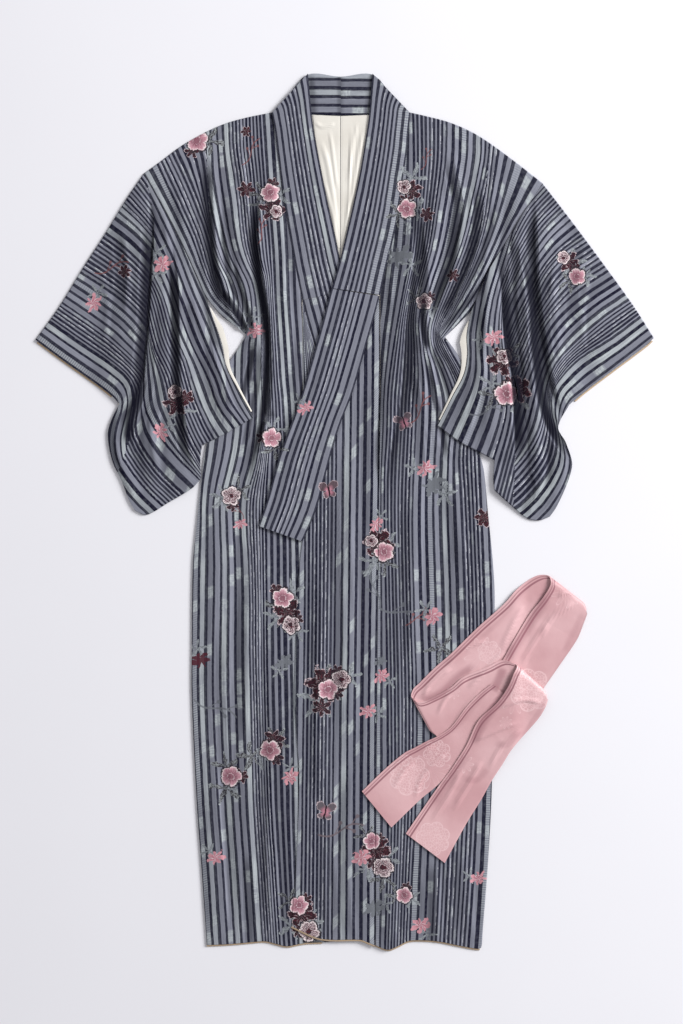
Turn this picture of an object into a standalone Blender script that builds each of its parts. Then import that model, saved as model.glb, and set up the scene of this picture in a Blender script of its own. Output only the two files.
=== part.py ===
# Kimono robe laid flat, front up, with its own folded sash.
# Metres, Z up. X runs to the left hand of the wearer, Y from the hem to the neck.
# Tables of places and sizes are in millimetres. MIDDLE is the middle of their outline.

import bisect
import math

import bmesh
import bpy
import numpy as np

MM = 0.001
MIDDLE = (-0.05, -1.52, 0.0)
WALL = 1.6
GAP = 0.4
BAND = 2.8
UNDER_LAYER = WALL + GAP
OVER_LAYER = 2 * (WALL + GAP)
OVER_BAND_BASE = 5.2
LINING_WALL = 1.0
SLEEVE_WALL = 1.5
SLEEVE_BASE = 2.2
SASH_WALL = 1.7
FACING_WIDTH = 2.6
FACING_HEIGHT = 2.4
CUFF_FACING_HEIGHT = 2.0
PANEL_LENGTH = 1600
SHOULDER_ROLL = 40
SEAM_INSET = 2 * GAP
BACK_INSET = 2.2
SLEEVE_INSET = 1.8
SLEEVE_RIM = 0.06
SLEEVE_LIFT = UNDER_LAYER + WALL + GAP
LAPPED_BAND_BASES = [3.5, 3.5, 2.6, 2.0, 2.0, 2.0, 2.0]
LAPPED_BAND_WALLS = [BAND, BAND, BAND, BAND, 2.4, WALL, WALL]
LEFT_BAND_BASES = [3.5, 4.2, OVER_BAND_BASE]

# Edges seen from above. A place written twice is a sharp corner.

RIGHT_SHOULDER = [
    (-361, 606), (-332, 627), (-293, 656), (-253, 679), (-215, 696), (-176, 707), (-131, 716),
]
RIGHT_SIDE = [
    (-361, 606), (-327, 546), (-291, 476), (-264, 417), (-249, 384), (-249, 384), (-222, 352),
    (-201, 336), (-177, 318), (-177, 318), (-188, 298), (-208, 267), (-228, 201),
    (-249, 116), (-258, 53), (-266, -21), (-273, -95), (-275, -240),
    (-275, -336), (-266, -525), (-258, -635), (-248, -780),
]
RIGHT_FRONT_HEM = [
    (-248, -780), (-207, -778), (-172, -775), (-143, -773), (-122, -778),
    (-104, -782), (-82, -778), (-69, -776),
]
RIGHT_BACK_TOP = [
    (-361, 606), (-332, 627), (-293, 656), (-253, 679), (-215, 696), (-176, 707), (-132, 714),
    (-132, 714), (-8, 711),
]
RIGHT_CENTRE_BACK = [(-8, 711), (-8, -768)]
RIGHT_BACK_HEM = [(-248, -780), (-240, -771), (-8, -768)]

LEFT_SHOULDER = [
    (355, 589), (304, 629), (256, 664), (226, 682), (186, 699), (148, 709), (118, 716),
]
LEFT_SIDE = [
    (355, 589), (323, 539), (289, 483), (258, 431), (243, 395), (228, 361), (228, 361),
    (204, 336), (180, 313), (180, 313), (199, 289), (210, 267),
    (226, 201), (244, 101), (251, 71), (258, -3), (267, -95), (270, -159),
    (265, -489), (262, -563), (255, -672), (249, -746), (247, -779),
]
LEFT_FRONT_HEM = [
    (247, -779), (244, -786), (228, -785), (202, -780), (166, -773), (130, -771),
    (113, -773), (95, -782), (78, -788), (55, -780),
]
LEFT_BACK_TOP = [
    (355, 589), (304, 629), (256, 664), (226, 682), (186, 699), (148, 709), (118, 714),
    (118, 714), (-7, 711),
]
LEFT_CENTRE_BACK = [(-7, 711), (-7, -768)]
LEFT_BACK_HEM = [(247, -779), (238, -769), (-7, -768)]

# Overlap panels: a row per station, seam edge and free edge.
UNDER_OVERLAP = [
    ((-75, 354), (-72, 354)), ((-75, 321), (-63, 321)), ((-74, 211), (-33, 211)),
    ((-74, 163), (-14, 163)), ((-73, 109), (4, 109)), ((-73, 64), (16, 64)),
    ((-72, -1), (34, -1)), ((-71, -54), (57, -54)), ((-69, -339), (71, -339)),
    ((-68, -609), (75, -609)), ((-68, -776), (78, -769)),
]
UNDER_HEM = RIGHT_FRONT_HEM + [(-41, -775)]
OVERLAP_SEAM = [(63, 387), (63, 201), (59, -159), (56, -519), (54, -780)]
OVERLAP_HEM = [(54, -780), (42, -775), (28, -770), (-23, -770), (-51, -766), (-95, -746)]

# Collar bands: a row per station, neck edge and seam edge.
UNDER_COLLAR_TOP = [
    ((-66, 787), (-131, 716)), ((-59, 712), (-124, 679)), ((-53, 669), (-120, 643)),
    ((-35, 575), (-109, 561)), ((-18, 498), (-96, 483)), ((-8, 453), (-88, 438)),
    ((8, 399), (-77, 382)),
]
UNDER_COLLAR_LOW = [
    ((9, 397), (-76, 380)), ((23, 343), (-60, 321)), ((53, 237), (-29, 211)),
    ((68, 189), (-10, 163)), ((90, 134), (7, 109)), ((104, 90), (20, 64)),
    ((122, 24), (38, -1)), ((139, -26), (61, -54)),
]
OVER_COLLAR_TOP = [
    ((50, 787), (118, 716)), ((44, 712), (114, 678)), ((40, 683), (112, 651)),
    ((28, 611), (103, 588)), ((13, 541), (93, 516)), ((-8, 453), (73, 432)),
    ((-23, 401), (64, 389)),
]
OVER_COLLAR_LOW = [
    ((-24, 400), (63, 387)), ((-39, 343), (45, 321)), ((-69, 237), (13, 211)),
    ((-84, 189), (-6, 163)), ((-105, 134), (-23, 109)), ((-120, 90), (-35, 64)),
    ((-138, 24), (-53, -1)), ((-155, -26), (-76, -54)),
]
NECK_BAND = [
    ((-125, 722), (-124, 718)), ((-102, 748), (-98, 716)), ((-66, 786), (-64, 715)),
    ((-7, 782), (-7, 712)), ((50, 786), (49, 715)), ((87, 746), (84, 716)),
    ((111, 722), (110, 718)),
]
# Edges that two pieces share.
RIGHT_FRONT_EDGE = [row[1] for row in UNDER_COLLAR_TOP] + [
    (-77, 382), (-75, 201), (-71, -159), (-69, -519), (-69, -776),
]
LEFT_FRONT_EDGE = [row[1] for row in OVER_COLLAR_TOP] + [
    (64, 389), (64, 201), (60, -159), (57, -519), (55, -780),
]
OVERLAP_EDGE = [row[1] for row in OVER_COLLAR_LOW] + [
    (-76, -54), (-81, -95), (-86, -149), (-88, -240), (-90, -339), (-87, -397),
    (-82, -471), (-84, -573), (-89, -663), (-95, -746),
]
# Neck lining: a row per station, outer edge and centre seam edge.
NECK_LINING_RIGHT = [
    ((-57, 713), (-8, 711)), ((-52, 669), (-8, 669)), ((-34, 575), (-8, 575)),
    ((-17, 498), (-8, 498)), ((-12, 474), (-8, 474)),
]
NECK_LINING_LEFT = [
    ((75, 714), (-7, 711)), ((75, 669), (-7, 669)), ((60, 575), (-7, 575)),
    ((39, 498), (-7, 498)), ((24, 456), (-6, 456)),
]

# Sleeves: shoulder line, cuff edge, bottom edge, and the seam with the open edge below it.
RIGHT_SLEEVE = {
    "shoulder": [
        (-361, 606), (-391, 562), (-429, 500), (-471, 435), (-512, 368), (-555, 308),
    ],
    "cuff": [
        (-555, 308), (-505, 271), (-464, 242), (-422, 211), (-405, 193), (-405, 193),
        (-420, 163), (-426, 138), (-418, 91), (-401, 55), (-388, 21), (-378, 3),
    ],
    "bottom": [
        (-165, 170), (-215, 141), (-257, 120), (-257, 120), (-260, 96), (-259, 60),
        (-259, 60), (-276, 42), (-318, 17), (-347, -1), (-361, -5), (-378, 3),
    ],
    "seam": [
        (-361, 606), (-327, 546), (-291, 476), (-264, 417), (-249, 384), (-249, 384),
        (-236, 345), (-221, 300), (-213, 260), (-195, 224), (-165, 170),
    ],
}
LEFT_SLEEVE = {
    "shoulder": [
        (355, 589), (402, 528), (460, 450), (519, 368), (555, 311),
    ],
    "cuff": [
        (555, 311), (541, 298), (481, 253), (431, 215), (404, 192), (404, 192),
        (384, 152), (397, 125), (409, 89), (406, 67), (397, 42), (381, 8), (370, -8),
    ],
    "bottom": [
        (168, 155), (206, 127), (240, 109), (270, 93), (270, 93), (268, 60),
        (270, 39), (270, 39), (300, 12), (328, -11), (350, -15), (370, -8),
    ],
    "seam": [
        (355, 589), (323, 539), (289, 483), (258, 431), (243, 395), (228, 361), (228, 361),
        (220, 318), (221, 283), (215, 247), (195, 208), (168, 155),
    ],
}

# Linings that show beyond the open sleeve edges: widths from the top to the bottom.
RIGHT_OPEN_WIDTHS = [0.8, 10, 9, 5, 3.5, 2.6]
LEFT_OPEN_WIDTHS = [1, 12, 8, 5, 3.5, 2.6]

# Folds: crest line from top to bottom, reach to each side of it, height.
RIGHT_SEAM_FOLDS = [
    ("upper roll", [(-278, 615), (-275, 507), (-266, 406), (-246, 287)], 28, 14, 5),
    ("seam roll", [(-345, 585), (-318, 516), (-292, 440), (-276, 361)], 22, 26, 4),
]
LEFT_SEAM_FOLDS = [
    ("upper roll", [(280, 615), (265, 507), (258, 399), (255, 287)], 16, 26, 5),
    ("seam roll", [(338, 575), (316, 507), (298, 435), (289, 363)], 26, 22, 4),
]
RIGHT_FOLDS = RIGHT_SEAM_FOLDS + [
    ("chest pleat", [(-167, 579), (-149, 449), (-132, 327), (-130, 201), (-149, 129), (-170, 46)], 7, 42, 9),
    ("chest side roll", [(-210, 615), (-188, 471), (-163, 348), (-156, 287), (-167, 201)], 26, 26, 7),
    ("armpit roll", [(-235, 579), (-226, 449), (-203, 370), (-183, 334)], 14, 12, 6),
    ("neck fold", [(-141, 651), (-118, 489), (-100, 345), (-104, 237)], 20, 16, 4),
    ("hip fold", [(-208, 75), (-221, -159), (-221, -375)], 30, 30, 3),
    ("skirt fold", [(-170, -87), (-174, -375), (-172, -757)], 28, 28, 3.5),
    ("hem fold", [(-237, -447), (-231, -627), (-226, -768)], 22, 26, 3),
    ("inner hem fold", [(-123, -231), (-122, -483), (-129, -764)], 22, 22, 3),
]
LEFT_FOLDS = LEFT_SEAM_FOLDS + [
    ("chest pleat", [(143, 579), (120, 449), (104, 327), (96, 210), (78, 111), (66, 35)], 42, 7, 9),
    ("chest side roll", [(183, 615), (161, 489), (145, 381), (143, 291), (130, 156)], 24, 24, 7),
    ("armpit roll", [(222, 561), (201, 449), (172, 370), (157, 319)], 12, 16, 6),
    ("hip fold", [(186, 107), (201, -15), (211, -105)], 26, 26, 3),
    ("skirt fold", [(132, 75), (125, -87), (114, -321)], 26, 26, 3),
    ("hem fold", [(156, -609), (159, -699), (165, -761)], 24, 24, 3),
    ("side hem fold", [(219, -609), (222, -699), (226, -768)], 18, 18, 3),
    ("seam hem fold", [(85, -627), (84, -708), (80, -775)], 20, 20, 3.5),
]
OVERLAP_FOLDS = [
    ("front edge fold", [(-33, -51), (-41, -303), (-41, -519)], 24, 24, 2.5),
    ("inner fold", [(13, 165), (10, -87), (12, -447)], 22, 22, 3),
    ("hem fold", [(-6, -519), (-5, -645), (-1, -761)], 22, 26, 3.5),
]
RIGHT_SLEEVE_FOLDS = RIGHT_SEAM_FOLDS + [
    ("cuff lap", [(-357, 593), (-354, 489), (-361, 381), (-367, 291), (-379, 228), (-397, 184)], 80, 8, 10),
    ("middle roll", [(-321, 561), (-327, 399), (-332, 273), (-347, 147), (-336, 28)], 26, 22, 6),
    ("flap lap", [(-314, 471), (-296, 327), (-289, 201), (-275, 107)], 8, 60, 8),
    ("flap roll", [(-239, 309), (-226, 228), (-203, 165)], 20, 18, 4),
    ("corner roll", [(-401, 172), (-408, 129), (-397, 75), (-375, 21)], 12, 26, 4),
]
LEFT_SLEEVE_FOLDS = LEFT_SEAM_FOLDS + [
    ("cuff lap", [(345, 579), (348, 489), (354, 381), (366, 291), (381, 219), (395, 179)], 8, 80, 9),
    ("middle roll", [(314, 543), (323, 399), (334, 273), (345, 147), (352, 21)], 20, 20, 8),
    ("flap lap", [(273, 449), (278, 345), (292, 237), (300, 147), (301, 93)], 60, 8, 8),
    ("flap roll", [(244, 291), (233, 210), (211, 147)], 18, 20, 4),
    ("corner roll", [(390, 157), (395, 114), (391, 57), (370, 12)], 26, 12, 4),
]

# Where one layer covers another, as the X of the covering edge at each Y.
OVER_FRONT_COVERS = [
    (1, 489), (-24, 399), (-39, 343), (-69, 237), (-105, 134), (-138, 24), (-158, -26),
    (-80, -57), (-87, -149), (-93, -339), (-89, -447), (-98, -746),
]
RIGHT_FLAP_COVERS = [
    (-278, 291), (-221, 276), (-210, 260), (-188, 224), (-159, 170), (-176, 157), (-251, 114),
    (-296, 100),
]
LEFT_FLAP_COVERS = [
    (280, 301), (220, 287), (210, 269), (199, 237), (183, 204), (161, 159), (179, 141), (202, 120),
    (240, 100), (298, 67),
]
HIDDEN_LAYER_EDGE = [
    (1, 471), (9, 397), (23, 343), (53, 237), (90, 134), (122, 24),
    (143, -26), (143, -60), (87, -123), (84, -771),
]
COVER_MARGIN = 5
COVER_FADE = 24
HIDDEN_LAYER_STEP = (4, 54)
SIDE_STEP = (-70, -20)
SIDE_STEP_TOP = (420, 360)
SASH_RESTS_FROM = (85, -559)
SASH_RESTS_TO = (388, -174)
SASH_RESTS_REACH = (105, 145)
SASH_STEP = (300, 332)

# Sash: a row per station of its path: upper edge, lower edge, how high each lies above what is
# below, and the way its outer face looks (1 up, -1 down, 0 in a turn).
SASH_PATH = [
    ((110, -579), (180, -632), 0.2, 0.2, 1),
    ((145, -528), (219, -561), 0.4, 0.2, 1),
    ((172, -489), (245, -519), 1.4, 0.4, 1),
    ((192, -462), (265, -483), 3.8, 1.4, 1),
    ((219, -419), (283, -455), 7.2, 4.2, 1),
    ((240, -375), (301, -426), 10.4, 7.6, 1),
    ((273, -343), (348, -372), 13.0, 10.4, 1),
    ((292, -316), (361, -350), 15.0, 12.4, 1),
    ((303, -291), (365, -338), 15.2, 11.6, 1),
    ((309, -276), (367, -329), 10.8, 8.4, 0),
    ((301, -272), (361, -329), 6.4, 5.6, -1),
    ((283, -267), (337, -339), 5.2, 5.0, -1),
    ((255, -280), (301, -356), 5.0, 4.8, -1),
    ((212, -298), (256, -372), 3.6, 3.0, -1),
    ((192, -315), (222, -386), 3.0, 2.6, -1),
    ((163, -332), (190, -397), 2.8, 2.6, -1),
    ((134, -343), (165, -404), 2.8, 2.6, -1),
    ((121, -334), (158, -402), 1.6, 1.5, 0),
    ((123, -320), (172, -392), 0.2, 0.2, 1),
    ((134, -309), (193, -375), 0.2, 0.2, 1),
    ((161, -282), (222, -347), 0.2, 0.2, 1),
    ((192, -255), (251, -321), 0.2, 0.2, 1),
    ((240, -208), (298, -275), 0.2, 0.2, 1),
    ((287, -166), (343, -235), 0.2, 0.2, 1),
    ((312, -138), (381, -206), 0.2, 0.2, 1),
    ((345, -116), (420, -179), 0.2, 0.2, 1),
    ((368, -117), (437, -170), 3.2, 2.4, 0),
    ((370, -131), (436, -183), 6.4, 4.8, -1),
    ((357, -154), (429, -203), 6.0, 4.0, -1),
    ((334, -183), (418, -230), 3.4, 2.8, -1),
    ((305, -230), (387, -276), 2.6, 2.6, -1),
    ((287, -262), (360, -315), 2.5, 2.5, -1),
    ((269, -296), (341, -343), 2.4, 2.4, -1),
]
SASH_END_PATH = [
    ((31, -503), (84, -568), 0.2, 0.2, 1),
    ((78, -458), (136, -518), 0.3, 0.2, 1),
    ((109, -433), (165, -494), 1.2, 0.2, 1),
    ((123, -426), (177, -482), 2.4, 0.3, 1),
    ((147, -413), (193, -465), 4.6, 0.6, 1),
    ((170, -402), (208, -451), 5.6, 1.2, 1),
    ((192, -386), (229, -433), 5.8, 2.2, 1),
    ((219, -350), (262, -408), 6.6, 4.4, 1),
    ((244, -325), (291, -379), 7.6, 7.2, 1),
    ((265, -309), (316, -354), 8.0, 7.8, 1),
]


def smooth(value, start=0.0, end=1.0):
    """0 up to the start, 1 past the end, and an even curve between."""
    value = np.clip((value - start) / (end - start), 0.0, 1.0)
    return value * value * (3.0 - 2.0 * value)


def spline(points, steps=6):
    """Points along a smooth line through the places, and how far along its corners lie."""
    dense = [np.array(points[0], float)]
    corners = []
    for k in range(len(points) - 1):
        a, b = np.array(points[k], float), np.array(points[k + 1], float)
        if (a == b).all():
            corners.append(len(dense) - 1)
            continue
        before = np.array(points[k - 1], float) if k > 0 else a
        after = np.array(points[k + 2], float) if k + 2 < len(points) else b
        reach = np.linalg.norm(b - a)
        start = (b - before) * reach / (reach + np.linalg.norm(a - before))
        end = (after - a) * reach / (reach + np.linalg.norm(after - b))
        for step in range(1, steps + 1):
            u = step / steps
            dense.append(
                (2 * u**3 - 3 * u**2 + 1) * a
                + (u**3 - 2 * u**2 + u) * start
                + (3 * u**2 - 2 * u**3) * b
                + (u**3 - u**2) * end
            )
    dense = np.array(dense)
    along = np.concatenate([[0], np.cumsum(np.linalg.norm(np.diff(dense, axis=0), axis=1))])
    along = along / along[-1]
    return dense, along, [along[c] for c in corners]


def place(line, share):
    dense, along, _ = line
    return np.stack([np.interp(share, along, dense[:, k]) for k in range(2)], axis=-1)


def shares(count, *lines, lean=1.0):
    """Steps from 0 to 1, closer at the start if lean is over 1, with a step on every corner of the lines."""
    corners = sorted({round(c, 5) for line in lines for c in line[2] if 0.002 < c < 0.998})
    kept = []
    for corner in corners:
        if not kept or corner - kept[-1] > 0.3 / count:
            kept.append(corner)
    found = list(kept)
    for even in np.linspace(0, 1, count + 1) ** lean:
        at = bisect.bisect(kept, even)
        near = [abs(even - other) for other in kept[max(0, at - 1):at + 1]]
        if even in (0.0, 1.0) or not near or min(near) > 0.45 / count:
            found.append(float(even))
    return np.array(sorted(found))


def patch(top, bottom, first, last, s, t):
    """Places between four edges: s runs along the top and the bottom, t down the two sides."""
    across, down = np.meshgrid(s, t, indexing="ij")
    across, down = across[..., None], down[..., None]
    left, right = place(first, t)[None], place(last, t)[None]
    lower = place(bottom, s)[:, None]
    upper = (1 - across[:, :1]) * left[:, :1] + across[:, :1] * right[:, :1]
    if top:
        upper = place(top, s)[:, None]
    corners = (
        (1 - across) * ((1 - down) * left[:, :1] + down * left[:, -1:])
        + across * ((1 - down) * right[:, :1] + down * right[:, -1:])
    )
    return (1 - down) * upper + down * lower + (1 - across) * left + across * right - corners


def apart(plan, first=0.0, last=0.0):
    """Draws the first and last columns in, so that pieces sewn together don't touch."""
    for here, other, reach in ((0, 1, first), (-1, -2, last)):
        step = plan[other] - plan[here]
        plan[here] += reach * step / np.linalg.norm(step, axis=-1, keepdims=True)
    return plan


def fold_height(plan, folds):
    """Height of the folds at each place: a soft crest that falls by its own reach on each side."""
    height = np.zeros(plan.shape[:-1])
    for _, crest, west, east, rise in folds:
        dense, along, _ = spline(crest, 4)
        best = np.full(plan.shape[:-1], 1e9)
        side = np.zeros(plan.shape[:-1])
        share = np.zeros(plan.shape[:-1])
        for k in range(len(dense) - 1):
            a, d = dense[k], dense[k + 1] - dense[k]
            u = np.clip(((plan - a) @ d) / (d @ d), 0, 1)
            off = plan - a - u[..., None] * d
            far = np.hypot(off[..., 0], off[..., 1])
            cross = d[0] * off[..., 1] - d[1] * off[..., 0]
            nearer = far < best
            best = np.where(nearer, far, best)
            side = np.where(nearer, cross, side)
            share = np.where(nearer, along[k] + u * (along[k + 1] - along[k]), share)
        reach = np.where(side > 0, east, west)
        profile = np.cos(0.5 * math.pi * np.clip(best / reach, 0, 1)) ** 2
        ends = smooth(share, 0, 0.25) * smooth(1 - share, -0.03, 0.17)
        height += rise * profile * ends
    return height


def edge_x(plan, edge):
    rows = sorted(edge, key=lambda row: row[1])
    return np.interp(plan[..., 1], [row[1] for row in rows], [row[0] for row in rows])


def clear_of_sash(plan):
    a, b = np.array(SASH_RESTS_FROM, float), np.array(SASH_RESTS_TO, float)
    u = np.clip(((plan - a) @ (b - a)) / ((b - a) @ (b - a)), 0, 1)
    off = plan - a - u[..., None] * (b - a)
    return smooth(np.hypot(off[..., 0], off[..., 1]), *SASH_RESTS_REACH)


def with_height(plan, height):
    return np.concatenate([plan, np.broadcast_to(height, plan.shape[:-1])[..., None]], axis=-1)


def material(name, colour, roughness):
    made = bpy.data.materials.new(name)
    made.use_nodes = True
    shader = made.node_tree.nodes["Principled BSDF"]
    shader.inputs["Base Color"].default_value = (*colour, 1)
    shader.inputs["Roughness"].default_value = roughness
    return made


def cloth(name, outer, inner, look, tube=False):
    """A grid moved to the outer places, closed into a tube if asked, then extruded to the inner ones."""
    columns, rows = outer.shape[:2]
    bm = bmesh.new()
    bmesh.ops.create_grid(bm, x_segments=columns - 1, y_segments=rows - 1 + tube, size=0.5)
    column = bm.verts.layers.int.new("column")
    row = bm.verts.layers.int.new("row")
    for vert in bm.verts:
        vert[column] = round((vert.co.x + 0.5) * (columns - 1))
        vert[row] = round((vert.co.y + 0.5) * (rows - 1 + tube)) % rows
        vert.co = (outer[vert[column], vert[row]] - MIDDLE) * MM
    if tube:
        bmesh.ops.remove_doubles(bm, verts=bm.verts, dist=0.000001)
    made = bmesh.ops.extrude_face_region(bm, geom=bm.faces[:], use_keep_orig=True)
    for vert in made["geom"]:
        if isinstance(vert, bmesh.types.BMVert):
            vert.co = (inner[vert[column], vert[row]] - MIDDLE) * MM
    bmesh.ops.recalc_face_normals(bm, faces=bm.faces)
    mesh = bpy.data.meshes.new(name)
    bm.to_mesh(mesh)
    bm.free()
    mesh.materials.append(look)
    obj = bpy.data.objects.new(name, mesh)
    robe.objects.link(obj)
    return obj


def laid_sheet(name, plan, base, wall, look):
    """One layer: its lower face at the base, its upper face a wall above."""
    outer = with_height(plan, base + wall)
    inner = with_height(plan, base)
    return cloth(name, outer, inner, look)


def outward(plan, edge):
    """Unit steps in the plane that leave the sheet at its first or last row."""
    step = plan[:, 0] - plan[:, 1] if edge == 0 else plan[:, -1] - plan[:, -2]
    return step / np.linalg.norm(step, axis=-1, keepdims=True)


def body_panel(name, shoulder, side, edge, hem, back_top, centre, back_hem, folds, base_of, cover_of, look):
    """Front and back of one side in one length of cloth, turned over at the shoulder."""
    lines = [spline(line) for line in (shoulder, side, edge, hem, back_top, centre, back_hem)]
    shoulder, side, edge, hem, back_top, centre, back_hem = lines
    s = shares(22, shoulder, hem)
    t = shares(28, side, edge, lean=1.25)
    front = apart(patch(shoulder, hem, side, edge, s, t), first=SEAM_INSET, last=SEAM_INSET)
    t_upper = t[(t < 0.25) & (np.arange(len(t)) % 2 == 1)]
    t_back = np.unique(np.concatenate([shares(3, side), t_upper]))
    back = apart(patch(back_top, back_hem, side, centre, s, t_back), first=BACK_INSET)
    relief = fold_height(front, folds) * cover_of(front)
    roll = smooth(t * PANEL_LENGTH, 0, SHOULDER_ROLL)[None, :]
    base = UNDER_LAYER + (base_of(front) - UNDER_LAYER + relief) * roll
    turn = front[:, :1] + (outward(front, 0) * WALL)[:, None]
    outer = np.concatenate([
        with_height(front, base + WALL)[:, ::-1],
        with_height(turn, 0.5 * (WALL + UNDER_LAYER)),
        with_height(back, 0.0),
    ], axis=1)
    inner = np.concatenate([
        with_height(front, base)[:, ::-1],
        with_height(front[:, :1], 0.5 * (WALL + UNDER_LAYER)),
        with_height(back, WALL),
    ], axis=1)
    return cloth(name, outer, inner, look)


def sleeve(name, edges, folds, base_of, look):
    """A tube laid flat: the upper wall carries the folds, the lower one lies on what is below."""
    shoulder, cuff = spline(edges["shoulder"]), spline(edges["cuff"])
    bottom, seam = spline(edges["bottom"]), spline(edges["seam"])
    s = shares(24, shoulder, bottom)
    t = shares(22, seam, cuff)
    front = apart(patch(shoulder, bottom, seam, cuff, s, t), first=SLEEVE_INSET)
    rest = base_of(front)
    back, below = front[:, ::-1], rest[:, ::-1]
    relief = fold_height(front, folds)
    rim = smooth(t, 0, SLEEVE_RIM) * smooth(1 - t, 0, SLEEVE_RIM)
    upper = rest + SLEEVE_BASE + relief * (0.25 + 0.75 * rim[None, :])
    top_turn = front[:, :1] + (outward(front, 0) * SLEEVE_WALL)[:, None]
    low_turn = front[:, -1:] + (outward(front, -1) * SLEEVE_WALL)[:, None]
    middle = 0.5 * (SLEEVE_WALL + SLEEVE_BASE)
    outer = np.concatenate([
        with_height(front, upper + SLEEVE_WALL),
        with_height(low_turn, middle + rest[:, -1:]),
        with_height(back, below),
        with_height(top_turn, middle + rest[:, :1]),
    ], axis=1)
    inner = np.concatenate([
        with_height(front, upper),
        with_height(front[:, -1:], middle + rest[:, -1:]),
        with_height(back, below + SLEEVE_WALL),
        with_height(front[:, :1], middle + rest[:, :1]),
    ], axis=1)
    return cloth(name, outer, inner, look, tube=True)


def band(name, stations, base, thickness, look, rows=14, columns=4, crown=0.5):
    """A strip between two edges given station by station, a little fuller in the middle."""
    first, last = spline([r[0] for r in stations]), spline([r[1] for r in stations])
    count = len(stations) - 1
    t = np.linspace(0, 1, rows + 1)
    s = np.linspace(0, 1, columns + 1)
    pace = np.linspace(0, 1, count + 1)
    ends = []
    for line in (first, last):
        at_station = line[1][:: 6][: count + 1]
        ends.append(place(line, np.interp(t, pace, at_station)))
    plan = ends[0][None] * (1 - s)[:, None, None] + ends[1][None] * s[:, None, None]
    base = np.interp(t, np.linspace(0, 1, len(base)), base)[None, :]
    thick = np.interp(t, np.linspace(0, 1, len(thickness)), thickness)[None, :]
    full = crown * np.sin(math.pi * s)[:, None] * smooth(thick, WALL, WALL + 0.5)
    outer = with_height(plan, base + thick + full)
    inner = with_height(plan, base + 0 * full)
    return cloth(name, outer, inner, look)


def facing(name, line, span, widths, side, base, height, look, rows=16, off=0.5):
    """A narrow strip that shows beyond part of an edge: it starts a little away from it."""
    t = np.linspace(0, 1, rows + 1)
    run = place(line, span[0] + t * (span[1] - span[0]))
    step = np.gradient(run, axis=0)
    step /= np.linalg.norm(step, axis=1, keepdims=True)
    away = np.stack([-step[:, 1], step[:, 0]], axis=1) * side
    width = np.interp(t, np.linspace(0, 1, len(widths)), widths)[:, None]
    plan = np.stack([run + away * (off + share * width) for share in (0, 0.6, 1)])
    rise = np.array([1.0, 0.95, 0.6])[:, None] * height
    low = base_at(base, plan)
    return cloth(name, with_height(plan, low + rise), with_height(plan, low), look)


def base_at(base, plan):
    return base(plan) if callable(base) else np.full(plan.shape[:-1], float(base))


def sash_rest(plan):
    """Height of what the sash lies on: the overlapped fronts, the side of the robe, the floor."""
    return (over_base(plan) + WALL + 2 * GAP) * (1 - smooth(plan[..., 0], *SASH_STEP))


def sash_band(name, path, look):
    """The folded band, its outer face followed through every turn; its upper edge shows a second layer."""
    upper = np.array([row[0] for row in path], float)
    lower = np.array([row[1] for row in path], float)
    s = np.array([0, 0.1, 0.13, 0.4, 0.7, 0.97, 1.0])
    plan = upper[None] * (1 - s)[:, None, None] + lower[None] * s[:, None, None]
    upper_rise = np.array([row[2] for row in path])
    lower_rise = np.array([row[3] for row in path])
    rise = upper_rise * (1 - s)[:, None] + lower_rise * s[:, None]
    way = np.array([row[4] for row in path])[None, :]
    rest = sash_rest(plan)
    shape = np.array([-0.6, -0.6, 0.0, 0.2, 0.2, 0.0, -0.3])[:, None]
    middle = rest + rise + 0.5 * SASH_WALL
    half = 0.5 * SASH_WALL * np.sign(way)
    turn = np.zeros_like(plan)
    for k in range(1, len(path) - 1):
        if path[k][4] == 0:
            past = plan[:, k] - 0.5 * (plan[:, k - 1] + plan[:, k + 1])
            turn[:, k] = 0.5 * SASH_WALL * past / np.linalg.norm(past, axis=1, keepdims=True)
    top_shape = np.where(way > 0, shape, 0.0)
    low_shape = np.where(way < 0, shape, 0.0)
    outer = with_height(plan + turn, middle + half + top_shape)
    inner = with_height(plan - turn, middle - half + low_shape)
    return cloth(name, outer, inner, look)


for old in list(bpy.data.objects):
    bpy.data.objects.remove(old)

robe = bpy.data.collections.new("kimono_robe")
bpy.context.scene.collection.children.link(robe)

stripe = material("striped_crepe", (0.19, 0.20, 0.26), 0.62)
cream = material("cream_lining", (0.80, 0.76, 0.68), 0.45)
tan = material("tan_facing", (0.58, 0.42, 0.26), 0.5)
pink = material("pink_satin", (0.74, 0.40, 0.43), 0.35)


def right_cover(plan):
    to_front = edge_x(plan, OVER_FRONT_COVERS) - plan[..., 0]
    to_flap = plan[..., 0] - edge_x(plan, RIGHT_FLAP_COVERS)
    over = smooth(to_front, COVER_MARGIN, COVER_MARGIN + COVER_FADE)
    flap = smooth(to_flap, 3 * COVER_MARGIN, 3 * COVER_MARGIN + COVER_FADE)
    return over * flap


def left_cover(plan):
    to_flap = edge_x(plan, LEFT_FLAP_COVERS) - plan[..., 0]
    flap = smooth(to_flap, 3 * COVER_MARGIN, 3 * COVER_MARGIN + COVER_FADE)
    return flap * clear_of_sash(plan)


def under_base(plan):
    return np.full(plan.shape[:-1], UNDER_LAYER)


def over_base(plan):
    beyond = plan[..., 0] - edge_x(plan, HIDDEN_LAYER_EDGE)
    return OVER_LAYER - (OVER_LAYER - UNDER_LAYER) * smooth(beyond, *HIDDEN_LAYER_STEP)


def over_body(plan, side, way):
    """Height that carries a sleeve over the side of the body and down to the floor outside it."""
    inside = way * (plan[..., 0] - edge_x(plan, side))
    return SLEEVE_LIFT * smooth(inside, *SIDE_STEP) * smooth(plan[..., 1], *SIDE_STEP_TOP)


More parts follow.
